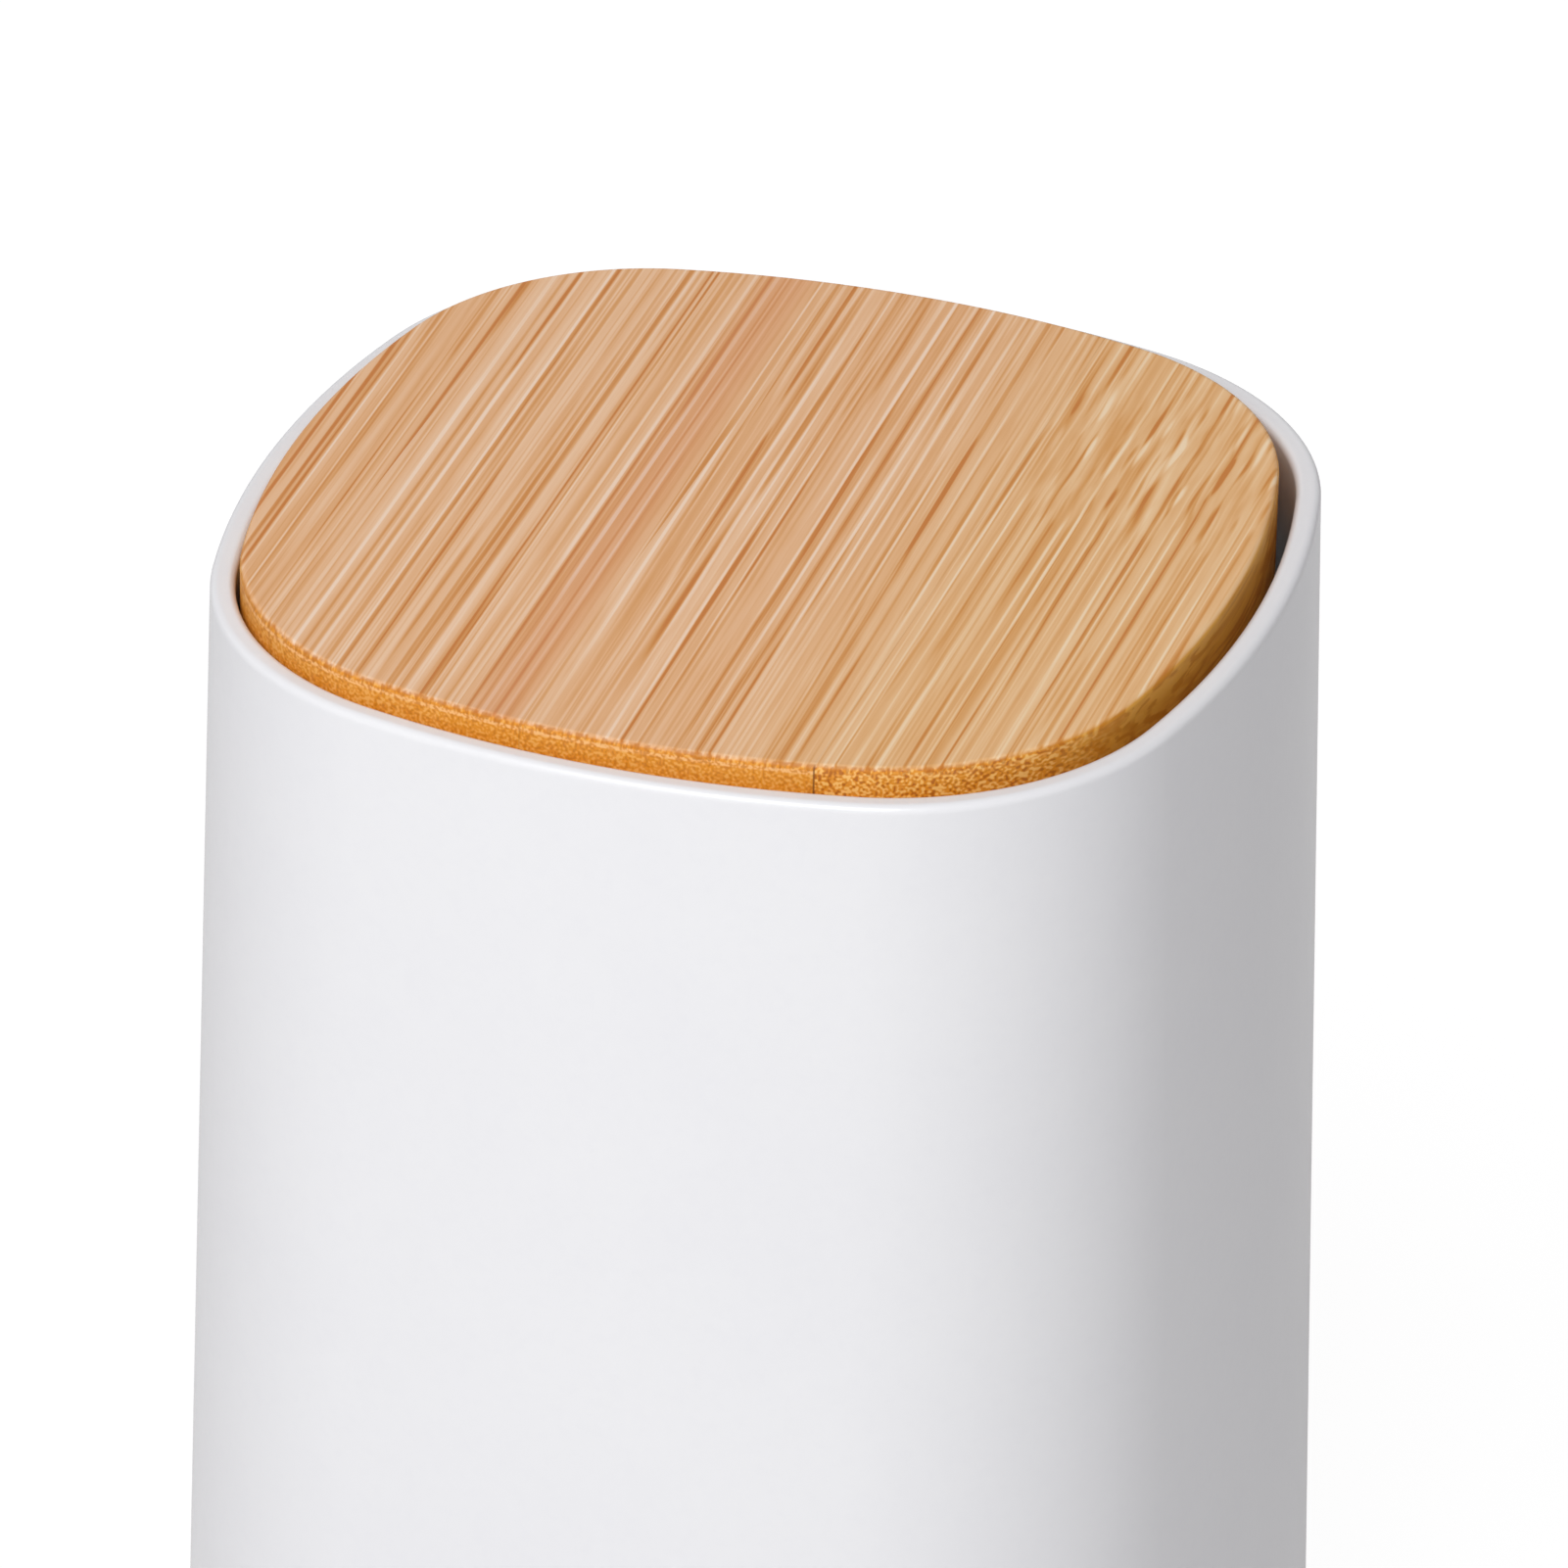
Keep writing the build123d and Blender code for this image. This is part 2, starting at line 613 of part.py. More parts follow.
def pick_tray():
    body = straight(tray_grow, tray_z, tray_top_z)
    body = fillet(level_edges(body, tray_z, "outer"), tray_edge_round)
    well = straight(tray_grow - tray_wall, tray_floor_z, tray_top_z)
    slot_face = guide_face - tray_slot_gap
    slot_half = guide_rib_width / 2 + tray_slot_gap
    for quarter in range(4):
        well -= Rot(0, 0, quarter * 90) * block((slot_face - tray_wall, rim_width),
                                                (-slot_half - tray_wall, slot_half + tray_wall),
                                                (tray_floor_z, tray_top_z))
    body -= well
    for quarter in range(4):
        body -= Rot(0, 0, quarter * 90) * block((slot_face, rim_width), (-slot_half, slot_half),
                                                (tray_z, tray_top_z))
    body -= drum(column_bore, tray_z, tray_floor_z)
    body -= block((-pocket_half_width, pocket_half_width), (0, pocket_depth), (tray_z, tray_floor_z))
    for at in tray_screw_at:
        body -= drum(tray_screw[0] + shank_gap, tray_z, tray_floor_z, at)
    return body


def main():
    os.makedirs("parts", exist_ok=True)
    pieces = {
        "outer_shell": outer_shell(),
        "base_plate": base_plate(),
        "foot_pad": foot_pad(),
        "base_screws": group(screw(base_screw), base_screw_at, recess_z),
        "guide_tower": guide_tower(),
        "tower_screws": group(screw(tower_screw), tower_screw_at, recess_z),
        "latch_wire": latch_wire(),
        "wire_clamp": wire_clamp(),
        "clamp_screws": group(Rot(180, 0, 0) * screw(clamp_screw), clamp_screw_at, stop_z),
        "stop_bumper": stop_bumper(),
        "guide_collar": guide_collar(),
        "collar_clip": collar_clip(),
        "lift_spring": lift_spring(),
        "bamboo_lid": bamboo_lid(),
        "bond_pad": bond_pad(),
        "lid_carrier": lid_carrier(),
        "carrier_screws": group(Rot(180, 0, 0) * screw(carrier_screw), carrier_screw_at, bond_z),
        "centre_column": centre_column(),
        "push_rod": push_rod(),
        "cam_bush": cam_bush(),
        "pick_tray": pick_tray(),
        "tray_screws": group(screw(tray_screw), tray_screw_at, bush_z),
    }
    for name, piece in pieces.items():
        export_step(piece, f"parts/{name}.step")


if __name__ == "__main__":
    main()
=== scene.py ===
import math
from functools import partial

import bmesh
import bpy
from mathutils import Matrix, Vector


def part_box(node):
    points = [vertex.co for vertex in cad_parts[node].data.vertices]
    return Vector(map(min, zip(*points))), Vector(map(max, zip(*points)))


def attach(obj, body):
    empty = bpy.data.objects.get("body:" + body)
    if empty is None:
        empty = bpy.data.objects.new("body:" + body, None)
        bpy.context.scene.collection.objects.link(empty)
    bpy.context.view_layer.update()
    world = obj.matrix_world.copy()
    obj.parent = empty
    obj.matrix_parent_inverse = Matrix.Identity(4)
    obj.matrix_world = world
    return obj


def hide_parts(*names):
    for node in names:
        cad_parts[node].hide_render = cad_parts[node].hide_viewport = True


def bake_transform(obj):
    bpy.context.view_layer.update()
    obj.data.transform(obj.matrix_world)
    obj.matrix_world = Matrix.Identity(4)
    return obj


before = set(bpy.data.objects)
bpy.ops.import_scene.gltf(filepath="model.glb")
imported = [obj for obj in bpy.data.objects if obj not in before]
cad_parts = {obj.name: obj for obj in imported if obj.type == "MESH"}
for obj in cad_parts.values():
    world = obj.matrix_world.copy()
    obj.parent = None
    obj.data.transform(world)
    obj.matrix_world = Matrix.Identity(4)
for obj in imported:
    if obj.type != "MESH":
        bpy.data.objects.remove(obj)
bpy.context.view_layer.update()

# The pop-up toothpick dispenser: a satin white squircle shell, a bamboo press lid and, under the lid, the
# sprung carriage on its guide tower.  Lengths are in metres; mm turns millimetres into them.

mm = 0.001


def low(node):
    """The height of a CAD node's lowest point."""
    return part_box(node)[0].z


def high(node):
    """The height of a CAD node's highest point."""
    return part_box(node)[1].z


# -------------------- sizes shared with the solids
rim_width = 58.0 * mm           # the squircle: bowed sides with round corners tangent to them
side_radius = 60.0 * mm
corner_radius = 18.0 * mm
rim_z = high("outer_shell")
base_z = low("outer_shell")
base_top_z = low("guide_tower")
lid_top = high("bamboo_lid")
outer_slope = math.tan(math.radians(1.4))
inner_slope = math.tan(math.radians(1.0))
rim_wall = 1.4 * mm
lid_grow = -(rim_wall + 0.6 * mm)
body_segments = 240             # steps round a squircle


# -------------------- node trees
def add(tree, kind, inputs=(), **settings):
    """One node; its inputs are values or the outputs of other nodes."""
    made = tree.nodes.new(kind)
    for name, value in settings.items():
        setattr(made, name, value)
    for key, value in dict(inputs).items():
        if isinstance(value, list):
            for socket in value:
                tree.links.new(socket, made.inputs[key])
        elif isinstance(value, bpy.types.NodeSocket):
            tree.links.new(value, made.inputs[key])
        else:
            made.inputs[key].default_value = value
    return made


def math_node(tree, operation, *values, clamp=False):
    """A Math node's result.  A third value and the next ones are taken in one after another."""
    made = add(tree, "ShaderNodeMath", enumerate(values[:2]), operation=operation, use_clamp=clamp)
    if len(values) > 2:
        return math_node(tree, operation, made.outputs[0], *values[2:], clamp=clamp)
    return made.outputs[0]


def vector_math(tree, operation, *values):
    """A Vector Math node's result, a number where the operation gives one."""
    made = add(tree, "ShaderNodeVectorMath", enumerate(values), operation=operation)
    return made.outputs["Value" if operation in ("LENGTH", "DOT_PRODUCT") else "Vector"]


def fit_range(tree, value, from_low, from_high, to_low=0.0, to_high=1.0, curve="SMOOTHSTEP"):
    """A value carried from one range to another and held at its ends."""
    ends = {"Value": value, "From Min": from_low, "From Max": from_high,
            "To Min": to_low, "To Max": to_high}
    return add(tree, "ShaderNodeMapRange", ends, interpolation_type=curve).outputs[0]


def vector(tree, x=0.0, y=0.0, z=0.0):
    """A vector put together from its parts."""
    return add(tree, "ShaderNodeCombineXYZ", {"X": x, "Y": y, "Z": z}).outputs[0]


def parts(tree, whole):
    """The outputs X, Y and Z of a vector."""
    return add(tree, "ShaderNodeSeparateXYZ", {0: whole}).outputs


def noise(tree, place, scale, detail=2.0, roughness=0.5):
    """Smooth noise about 0.5."""
    values = {"Vector": place, "Scale": scale, "Detail": detail, "Roughness": roughness}
    return add(tree, "ShaderNodeTexNoise", values).outputs[0]


def blend_value(tree, share, first, second):
    """Two numbers mixed by a share."""
    return add(tree, "ShaderNodeMix", {0: share, 2: first, 3: second}, data_type="FLOAT").outputs[0]


def blend_colour(tree, share, first, second, way="MIX"):
    """Two colours mixed by a share that changes over the surface."""
    made = add(tree, "ShaderNodeMix", {0: share, 6: first, 7: second}, data_type="RGBA", blend_type=way)
    return made.outputs[2]


def colour(red, green, blue):
    """A colour as it is seen on a screen, from 0 to 255, as light."""
    light = [((c / 255 + 0.055) / 1.055) ** 2.4 if c > 10 else c / 3294.6 for c in (red, green, blue)]
    return tuple(light) + (1.0,)


def new_group(name, kind, inputs, outputs):
    """An empty node group with named inputs (name: socket kind, start value) and outputs."""
    tree = bpy.data.node_groups.new(name, kind)
    for label, (socket, start) in inputs.items():
        made = tree.interface.new_socket(label, in_out="INPUT", socket_type="NodeSocket" + socket)
        if start is not None:
            made.default_value = start
    for label, socket in outputs.items():
        tree.interface.new_socket(label, in_out="OUTPUT", socket_type="NodeSocket" + socket)
    return tree, tree.nodes.new("NodeGroupInput").outputs, tree.nodes.new("NodeGroupOutput").inputs


def finish_geometry(tree, shape, material, result, sharp=math.radians(32)):
    """Ends a geometry tree: smooth faces with sharp edges, real geometry and its material."""
    smooth = add(tree, "GeometryNodeSetShadeSmooth", {0: shape, "Shade Smooth": True}, domain="FACE")
    angle = add(tree, "GeometryNodeInputMeshEdgeAngle").outputs["Unsigned Angle"]
    crisp = add(tree, "FunctionNodeCompare", {0: angle, 1: sharp}, operation="GREATER_THAN")
    edges = add(tree, "GeometryNodeSetShadeSmooth",
                {0: smooth.outputs[0], "Selection": crisp.outputs[0], "Shade Smooth": False}, domain="EDGE")
    real = add(tree, "GeometryNodeRealizeInstances", {0: edges.outputs[0]})
    painted = add(tree, "GeometryNodeSetMaterial", {0: real.outputs[0], "Material": material})
    tree.links.new(painted.outputs[0], result)


def grow_piece(name, tree, start, values):
    """A plain mesh object from a geometry tree, its start mesh and its named inputs."""
    piece = bpy.data.objects.new(name, start)
    bpy.context.scene.collection.objects.link(piece)
    grower = piece.modifiers.new("grow", "NODES")
    grower.node_group = tree
    for socket in tree.interface.items_tree:
        if socket.item_type == "SOCKET" and socket.in_out == "INPUT" and socket.name in values:
            grower[socket.identifier] = values[socket.name]
    graph = bpy.context.evaluated_depsgraph_get()
    mesh = bpy.data.meshes.new_from_object(piece.evaluated_get(graph), depsgraph=graph)
    piece.modifiers.remove(grower)
    piece.data = mesh
    mesh.name = name
    bpy.data.meshes.remove(start)
    return piece


def line_mesh(points):
    """A mesh of the line through points."""
    mesh = bpy.data.meshes.new("points")
    mesh.from_pydata([Vector(p) for p in points], [(i, i + 1) for i in range(len(points) - 1)], [])
    return mesh


# -------------------- geometry: steps that several trees take
def profile_grid(tree, profile, columns):
    """A grid that repeats a profile's points in each column, to be swept round an axis.

    Gives the grid, each point's column and the parts of its point on the profile.
    """
    calc = partial(math_node, tree)
    rows = add(tree, "GeometryNodeAttributeDomainSize", {"Geometry": profile}).outputs["Point Count"]
    grid = add(tree, "GeometryNodeMeshGrid", {"Vertices X": columns, "Vertices Y": rows}).outputs[0]
    index = add(tree, "GeometryNodeInputIndex").outputs[0]
    column = calc("FLOOR", calc("DIVIDE", index, rows))
    row = calc("SUBTRACT", index, calc("MULTIPLY", column, rows))
    sample = add(tree, "GeometryNodeSampleIndex", {"Geometry": profile},
                 data_type="FLOAT_VECTOR", domain="POINT")
    tree.links.new(add(tree, "GeometryNodeInputPosition").outputs[0], sample.inputs["Value"])
    tree.links.new(row, sample.inputs["Index"])
    return grid, column, parts(tree, sample.outputs[0])


def swept(tree, grid, place):
    """The grid with its points put in place, closed at its seam and at the axis."""
    placed = add(tree, "GeometryNodeSetPosition", {"Geometry": grid, "Position": place}).outputs[0]
    return add(tree, "GeometryNodeMergeByDistance", {"Geometry": placed, "Distance": 1e-7}).outputs[0]


def polar(tree, radius, angle, height):
    """A place about the axis."""
    calc = partial(math_node, tree)
    return vector(tree, calc("MULTIPLY", radius, calc("COSINE", angle)),
                  calc("MULTIPLY", radius, calc("SINE", angle)), height)


def moved(tree, piece, way):
    """A piece moved by a vector."""
    return add(tree, "GeometryNodeTransform", {"Geometry": piece, "Translation": way}).outputs[0]


def block(tree, size, middle, columns=2):
    """A box of real faces about a middle point, with so many columns of points along X."""
    made = add(tree, "GeometryNodeMeshCube", {
        "Size": size, "Vertices X": columns, "Vertices Y": 2, "Vertices Z": 2})
    return moved(tree, made.outputs[0], middle)


def drum(tree, radius, depth, middle, around):
    """A cylinder about a middle point."""
    made = add(tree, "GeometryNodeMeshCylinder", {"Vertices": around, "Radius": radius, "Depth": depth})
    return moved(tree, made.outputs[0], middle)


def four_about(tree, piece, first):
    """Four copies of a piece a quarter turn apart, the first one turned by an angle."""
    return [add(tree, "GeometryNodeTransform", {
        "Geometry": piece, "Rotation": (0.0, 0.0, first + quarter * math.pi / 2)}).outputs[0]
        for quarter in range(4)]


def union(tree, pieces):
    """All pieces joined to one."""
    return add(tree, "GeometryNodeMeshBoolean", {"Mesh 2": pieces},
               operation="UNION", solver="EXACT").outputs[0]


def cut_away(tree, piece, tools):
    """A piece without what the tools take away."""
    return add(tree, "GeometryNodeMeshBoolean", {"Mesh 1": piece, "Mesh 2": tools},
               operation="DIFFERENCE", solver="EXACT").outputs[0]


def round_wire(tree, curve, radius, around):
    """Wire of a round section along a curve, closed at its ends."""
    section = add(tree, "GeometryNodeCurvePrimitiveCircle", {"Resolution": around, "Radius": radius})
    return add(tree, "GeometryNodeCurveToMesh", {
        "Curve": curve, "Profile Curve": section.outputs[0], "Fill Caps": True}).outputs[0]


# -------------------- geometry: squircle bodies
def squircle_body_tree():
    """Sweeps a profile round the squircle.

    The start mesh's points run along the profile.  X is how far a point lies outside the rim's outline,
    Y is 0 there and 1 on the axis, and Z is its height.
    """
    tree, given, result = new_group(
        "squircle_body", "GeometryNodeTree",
        {"Profile": ("Geometry", None), "Rim Width": ("Float", rim_width),
         "Side Radius": ("Float", side_radius), "Corner Radius": ("Float", corner_radius),
         "Segments": ("Int", body_segments), "Material": ("Material", None)},
        {"Body": "Geometry"})
    calc = partial(math_node, tree)

    # the centres of the side's and the corner's arc, and the angle at which they meet
    side_centre = calc("SUBTRACT", calc("MULTIPLY", given["Rim Width"], 0.5), given["Side Radius"])
    arc_step = calc("SUBTRACT", given["Side Radius"], given["Corner Radius"])
    inside = calc("SUBTRACT", calc("MULTIPLY", arc_step, arc_step, 2.0),
                  calc("MULTIPLY", side_centre, side_centre))
    corner_centre = calc("MULTIPLY", calc("ADD", side_centre, calc("SQRT", inside)), 0.5)
    half_angle = calc("ARCTAN2", corner_centre, calc("SUBTRACT", corner_centre, side_centre))

    # each point's angle from the middle of its side
    grid, column, at = profile_grid(tree, given["Profile"], calc("ADD", given["Segments"], 1.0))
    turn = calc("MULTIPLY", calc("DIVIDE", column, given["Segments"]), -2 * math.pi)
    quarter = calc("ROUND", calc("DIVIDE", turn, math.pi / 2))
    quarter_turn = calc("MULTIPLY", quarter, math.pi / 2)
    angle = calc("SUBTRACT", turn, quarter_turn)
    on_corner = calc("GREATER_THAN", calc("ABSOLUTE", angle), half_angle)
    on_side = calc("SUBTRACT", 1.0, on_corner)
    centre_x = calc("ADD", calc("MULTIPLY", on_side, side_centre),
                    calc("MULTIPLY", on_corner, corner_centre))
    centre_y = calc("MULTIPLY", on_corner, calc("SIGN", angle), corner_centre)
    reach = calc("ADD", at["X"], calc("ADD", calc("MULTIPLY", on_side, given["Side Radius"]),
                                      calc("MULTIPLY", on_corner, given["Corner Radius"])))
    keep = calc("SUBTRACT", 1.0, at["Y"])
    x = calc("MULTIPLY", keep, calc("ADD", centre_x, calc("MULTIPLY", reach, calc("COSINE", angle))))
    y = calc("MULTIPLY", keep, calc("ADD", centre_y, calc("MULTIPLY", reach, calc("SINE", angle))))
    turned = add(tree, "ShaderNodeVectorRotate", {
        "Vector": vector(tree, x, y, at["Z"]), "Angle": quarter_turn}, rotation_type="Z_AXIS").outputs[0]
    finish_geometry(tree, swept(tree, grid, turned), given["Material"], result[0])
    return tree


def rounded(corners, closed=True):
    """Profile points through corners (grow, shrink, height, radius), with an arc where there is a radius.

    A point just beyond each arc keeps the flats beside it flat to the light.
    """
    steps = 6
    points = []
    flat = [Vector((grow - shrink * rim_width / 2, z)) for grow, shrink, z, _ in corners]
    for i, (grow, shrink, z, radius) in enumerate(corners):
        if not radius:
            points.append((grow, shrink, z))
            continue
        here = flat[i]
        before = (flat[i - 1] - here).normalized()
        after = (flat[(i + 1) % len(flat)] - here).normalized()
        half = before.angle(after) / 2
        setback = radius / math.tan(half)
        centre = here + (before + after).normalized() * radius / math.sin(half)
        start = here + before * setback - centre
        sweep = start.angle_signed(here + after * setback - centre)
        guard = radius * 0.15
        arc = [here + before * (setback + guard)]
        for step in range(steps + 1):
            turn = Matrix.Rotation(-sweep * step / steps, 2)
            arc.append(centre + turn @ start)
        arc.append(here + after * (setback + guard))
        points += [(p.x, shrink, p.y) for p in arc]
    if closed:
        points.append(points[0])
    return points


squircle_tree = squircle_body_tree()


# -------------------- geometry: the fitted shell
def fitted_shell_tree():
    """The wall swept from its profile, with guide ribs on its sides and screw bosses in its corners."""
    tree, given, result = new_group(
        "fitted_shell", "GeometryNodeTree",
        {"Profile": ("Geometry", None), "Rib Face": ("Float", 26.9 * mm), "Rib Height": ("Float", 1.3 * mm),
         "Rib Width": ("Float", 2.4 * mm), "Rib Low": ("Float", 4.0 * mm), "Rib High": ("Float", 64.0 * mm),
         "Boss At": ("Float", 26.7 * mm), "Boss Radius": ("Float", 3.4 * mm),
         "Boss Low": ("Float", 3.2 * mm), "Boss High": ("Float", 9.1 * mm), "Web End": ("Float", 33.0 * mm),
         "Pilot Radius": ("Float", 1.35 * mm), "Pilot Depth": ("Float", 5.0 * mm),
         "Material": ("Material", None)},
        {"Body": "Geometry"})
    calc = partial(math_node, tree)

    def middle(low_end, high_end):
        """Halfway between two ends."""
        return calc("MULTIPLY", calc("ADD", low_end, high_end), 0.5)

    wall = add(tree, "GeometryNodeGroup", node_tree=squircle_tree)
    tree.links.new(given["Profile"], wall.inputs["Profile"])

    # a rib: its inner top edge is cut away at 45 degrees
    rib_length = calc("SUBTRACT", given["Rib High"], given["Rib Low"])
    rib_size = vector(tree, calc("MULTIPLY", given["Rib Height"], 2.0), given["Rib Width"], rib_length)
    rib_middle = vector(tree, calc("ADD", given["Rib Face"], given["Rib Height"]), 0.0,
                        middle(given["Rib Low"], given["Rib High"]))
    rib = block(tree, rib_size, rib_middle, columns=3)
    at = parts(tree, add(tree, "GeometryNodeInputPosition").outputs[0])
    inner_end = calc("ADD", given["Rib Face"], calc("MULTIPLY", given["Rib Height"], 0.5))
    inner = calc("LESS_THAN", at["X"], inner_end)
    upper = calc("GREATER_THAN", at["Z"], middle(given["Rib Low"], given["Rib High"]))
    drop = calc("MULTIPLY", inner, upper, calc("MULTIPLY", given["Rib Height"], -1.0))
    rib = add(tree, "GeometryNodeSetPosition", {
        "Geometry": rib, "Offset": vector(tree, 0.0, 0.0, drop)}).outputs[0]

    # a boss with its web to the corner, and the pilot hole for its screw
    boss_depth = calc("SUBTRACT", given["Boss High"], given["Boss Low"])
    boss_middle = middle(given["Boss Low"], given["Boss High"])
    boss = drum(tree, given["Boss Radius"], boss_depth,
                vector(tree, given["Boss At"], 0.0, boss_middle), around=48)
    web_length = calc("SUBTRACT", given["Web End"], given["Boss At"])
    web = block(tree, vector(tree, web_length, given["Boss Radius"], boss_depth),
                vector(tree, middle(given["Boss At"], given["Web End"]), 0.0, boss_middle))
    pilot = drum(tree, given["Pilot Radius"], calc("MULTIPLY", given["Pilot Depth"], 2.0),
                 vector(tree, given["Boss At"], 0.0, given["Boss Low"]), around=32)

    corner = math.pi / 4
    fittings = four_about(tree, rib, 0.0) + four_about(tree, boss, corner) + four_about(tree, web, corner)
    joined = union(tree, [wall.outputs[0]] + fittings)
    bored = cut_away(tree, joined, four_about(tree, pilot, corner))
    finish_geometry(tree, bored, given["Material"], result[0])
    return tree


# -------------------- geometry: screws, spring and wire
def screws_tree():
    """Countersunk screws with a thread and a cross recess, as many as a circle of places holds.

    The start mesh's points run along one screw: X is its radius, Z its height and Y how deep the
    thread is cut there, from 0 to 1.
    """
    tree, given, result = new_group(
        "countersunk_screws", "GeometryNodeTree",
        {"Profile": ("Geometry", None), "Pitch": ("Float", 0.9 * mm), "Thread Depth": ("Float", 0.3 * mm),
         "Recess": ("Float", 1.5 * mm), "Slot": ("Float", 0.5 * mm), "Centre": ("Vector", None),
         "Circle": ("Float", 0.0), "Count": ("Int", 3), "First Turn": ("Float", 0.0),
         "Left Out": ("Int", -1), "Pointing Down": ("Float", 0.0), "Material": ("Material", None)},
        {"Screws": "Geometry"})
    calc = partial(math_node, tree)
    around = 40

    # the thread: the radius falls and rises once a pitch, and higher up the further round
    grid, column, at = profile_grid(tree, given["Profile"], around + 1)
    turns = calc("DIVIDE", column, float(around))
    wave = calc("PINGPONG", calc("SUBTRACT", calc("DIVIDE", at["Z"], given["Pitch"]), turns), 0.5)
    cut = calc("MULTIPLY", calc("MULTIPLY", wave, 2.0), calc("MULTIPLY", at["Y"], given["Thread Depth"]))
    radius = calc("MAXIMUM", calc("SUBTRACT", at["X"], cut), 0.0)
    plain = swept(tree, grid, polar(tree, radius, calc("MULTIPLY", turns, -2 * math.pi), at["Z"]))

    # the cross recess narrows with depth
    reach = calc("MULTIPLY", given["Recess"], 2.0)
    deep = calc("MULTIPLY", given["Recess"], 1.2)
    arms = [block(tree, vector(tree, reach, given["Slot"], deep), (0.0, 0.0, 0.0)),
            block(tree, vector(tree, given["Slot"], reach, deep), (0.0, 0.0, 0.0))]
    here = add(tree, "GeometryNodeInputPosition").outputs[0]
    narrow = fit_range(tree, parts(tree, here)["Z"], 0.0, 1.0 * mm, 1.0, 0.45, "LINEAR")
    slim = vector_math(tree, "MULTIPLY", here, vector(tree, narrow, narrow, 1.0))
    arms = [add(tree, "GeometryNodeSetPosition", {"Geometry": arm, "Position": slim}).outputs[0]
            for arm in arms]
    screw = cut_away(tree, plain, arms)

    # the screws' places, and each one's own turn
    number = add(tree, "GeometryNodeInputIndex").outputs[0]
    step = calc("DIVIDE", 2 * math.pi, given["Count"])
    turn = calc("ADD", given["First Turn"], calc("MULTIPLY", number, step))
    spot = vector_math(tree, "ADD", polar(tree, given["Circle"], turn, 0.0), given["Centre"])
    places = add(tree, "GeometryNodePoints", {"Count": given["Count"], "Position": spot}).outputs[0]
    gone = add(tree, "FunctionNodeCompare", {2: number, 3: given["Left Out"]},
               data_type="INT", operation="EQUAL")
    places = add(tree, "GeometryNodeDeleteGeometry", {0: places, "Selection": gone.outputs[0]}).outputs[0]
    twist = add(tree, "FunctionNodeRandomValue", {2: 0.0, 3: 6.28, "Seed": 11},
                data_type="FLOAT").outputs[1]
    tilt = calc("MULTIPLY", given["Pointing Down"], math.pi)
    copies = add(tree, "GeometryNodeInstanceOnPoints", {
        "Points": places, "Instance": screw, "Rotation": vector(tree, tilt, 0.0, twist)}).outputs[0]
    finish_geometry(tree, copies, given["Material"], result[0])
    return tree


def coil_spring_tree():
    """A compression spring of round wire with a closed coil at each end."""
    tree, given, result = new_group(
        "coil_spring", "GeometryNodeTree",
        {"Start": ("Geometry", None), "Coil Radius": ("Float", 3.4 * mm), "Wire": ("Float", 0.5 * mm),
         "Low": ("Float", 0.0), "High": ("Float", 19.0 * mm), "Turns": ("Float", 12.0),
         "Material": ("Material", None)},
        {"Spring": "Geometry"})
    calc = partial(math_node, tree)
    steps_a_turn = 36.0
    steps = calc("ADD", calc("MULTIPLY", given["Turns"], steps_a_turn), 1.0)
    line = add(tree, "GeometryNodeCurvePrimitiveLine", {"End": (0.0, 0.0, 1.0)}).outputs[0]
    fine = add(tree, "GeometryNodeResampleCurve", {"Curve": line, "Count": steps}).outputs[0]
    share = add(tree, "GeometryNodeSplineParameter").outputs["Factor"]
    turn = calc("MULTIPLY", share, given["Turns"])
    radius = calc("MULTIPLY", given["Wire"], 0.5)

    # the first and the last turn rise by the wire alone, and those between share the room
    first = calc("MINIMUM", turn, 1.0)
    last = calc("MAXIMUM", calc("SUBTRACT", turn, calc("SUBTRACT", given["Turns"], 1.0)), 0.0)
    between = calc("SUBTRACT", turn, calc("ADD", first, last))
    closed = calc("MULTIPLY", calc("ADD", first, last), given["Wire"])
    room = calc("SUBTRACT", given["High"], given["Low"], calc("MULTIPLY", given["Wire"], 3.0))
    rise = calc("MULTIPLY", between, calc("DIVIDE", room, calc("SUBTRACT", given["Turns"], 2.0)))
    height = calc("ADD", given["Low"], radius, calc("ADD", closed, rise))
    place = polar(tree, given["Coil Radius"], calc("MULTIPLY", turn, 2 * math.pi), height)
    coil = add(tree, "GeometryNodeSetPosition", {"Geometry": fine, "Position": place}).outputs[0]
    finish_geometry(tree, round_wire(tree, coil, radius, 12), given["Material"], result[0])
    return tree


def bent_wire_tree():
    """A wire bent along the start mesh's line, with its first bend wide and its last one tight."""
    tree, given, result = new_group(
        "bent_wire", "GeometryNodeTree",
        {"Line": ("Geometry", None), "Wire": ("Float", 0.7 * mm), "First Bend": ("Float", 1.0 * mm),
         "Last Bend": ("Float", 0.5 * mm), "Material": ("Material", None)},
        {"Wire": "Geometry"})
    path = add(tree, "GeometryNodeMeshToCurve", {0: given["Line"]}).outputs[0]
    index = add(tree, "GeometryNodeInputIndex").outputs[0]
    late = math_node(tree, "GREATER_THAN", index, 1.5)
    bend = blend_value(tree, late, given["First Bend"], given["Last Bend"])
    bent = add(tree, "GeometryNodeFilletCurve", {
        "Curve": path, "Count": 10, "Radius": bend, "Limit Radius": True}, mode="POLY").outputs[0]
    body = round_wire(tree, bent, math_node(tree, "MULTIPLY", given["Wire"], 0.5), 20)
    finish_geometry(tree, body, given["Material"], result[0])
    return tree


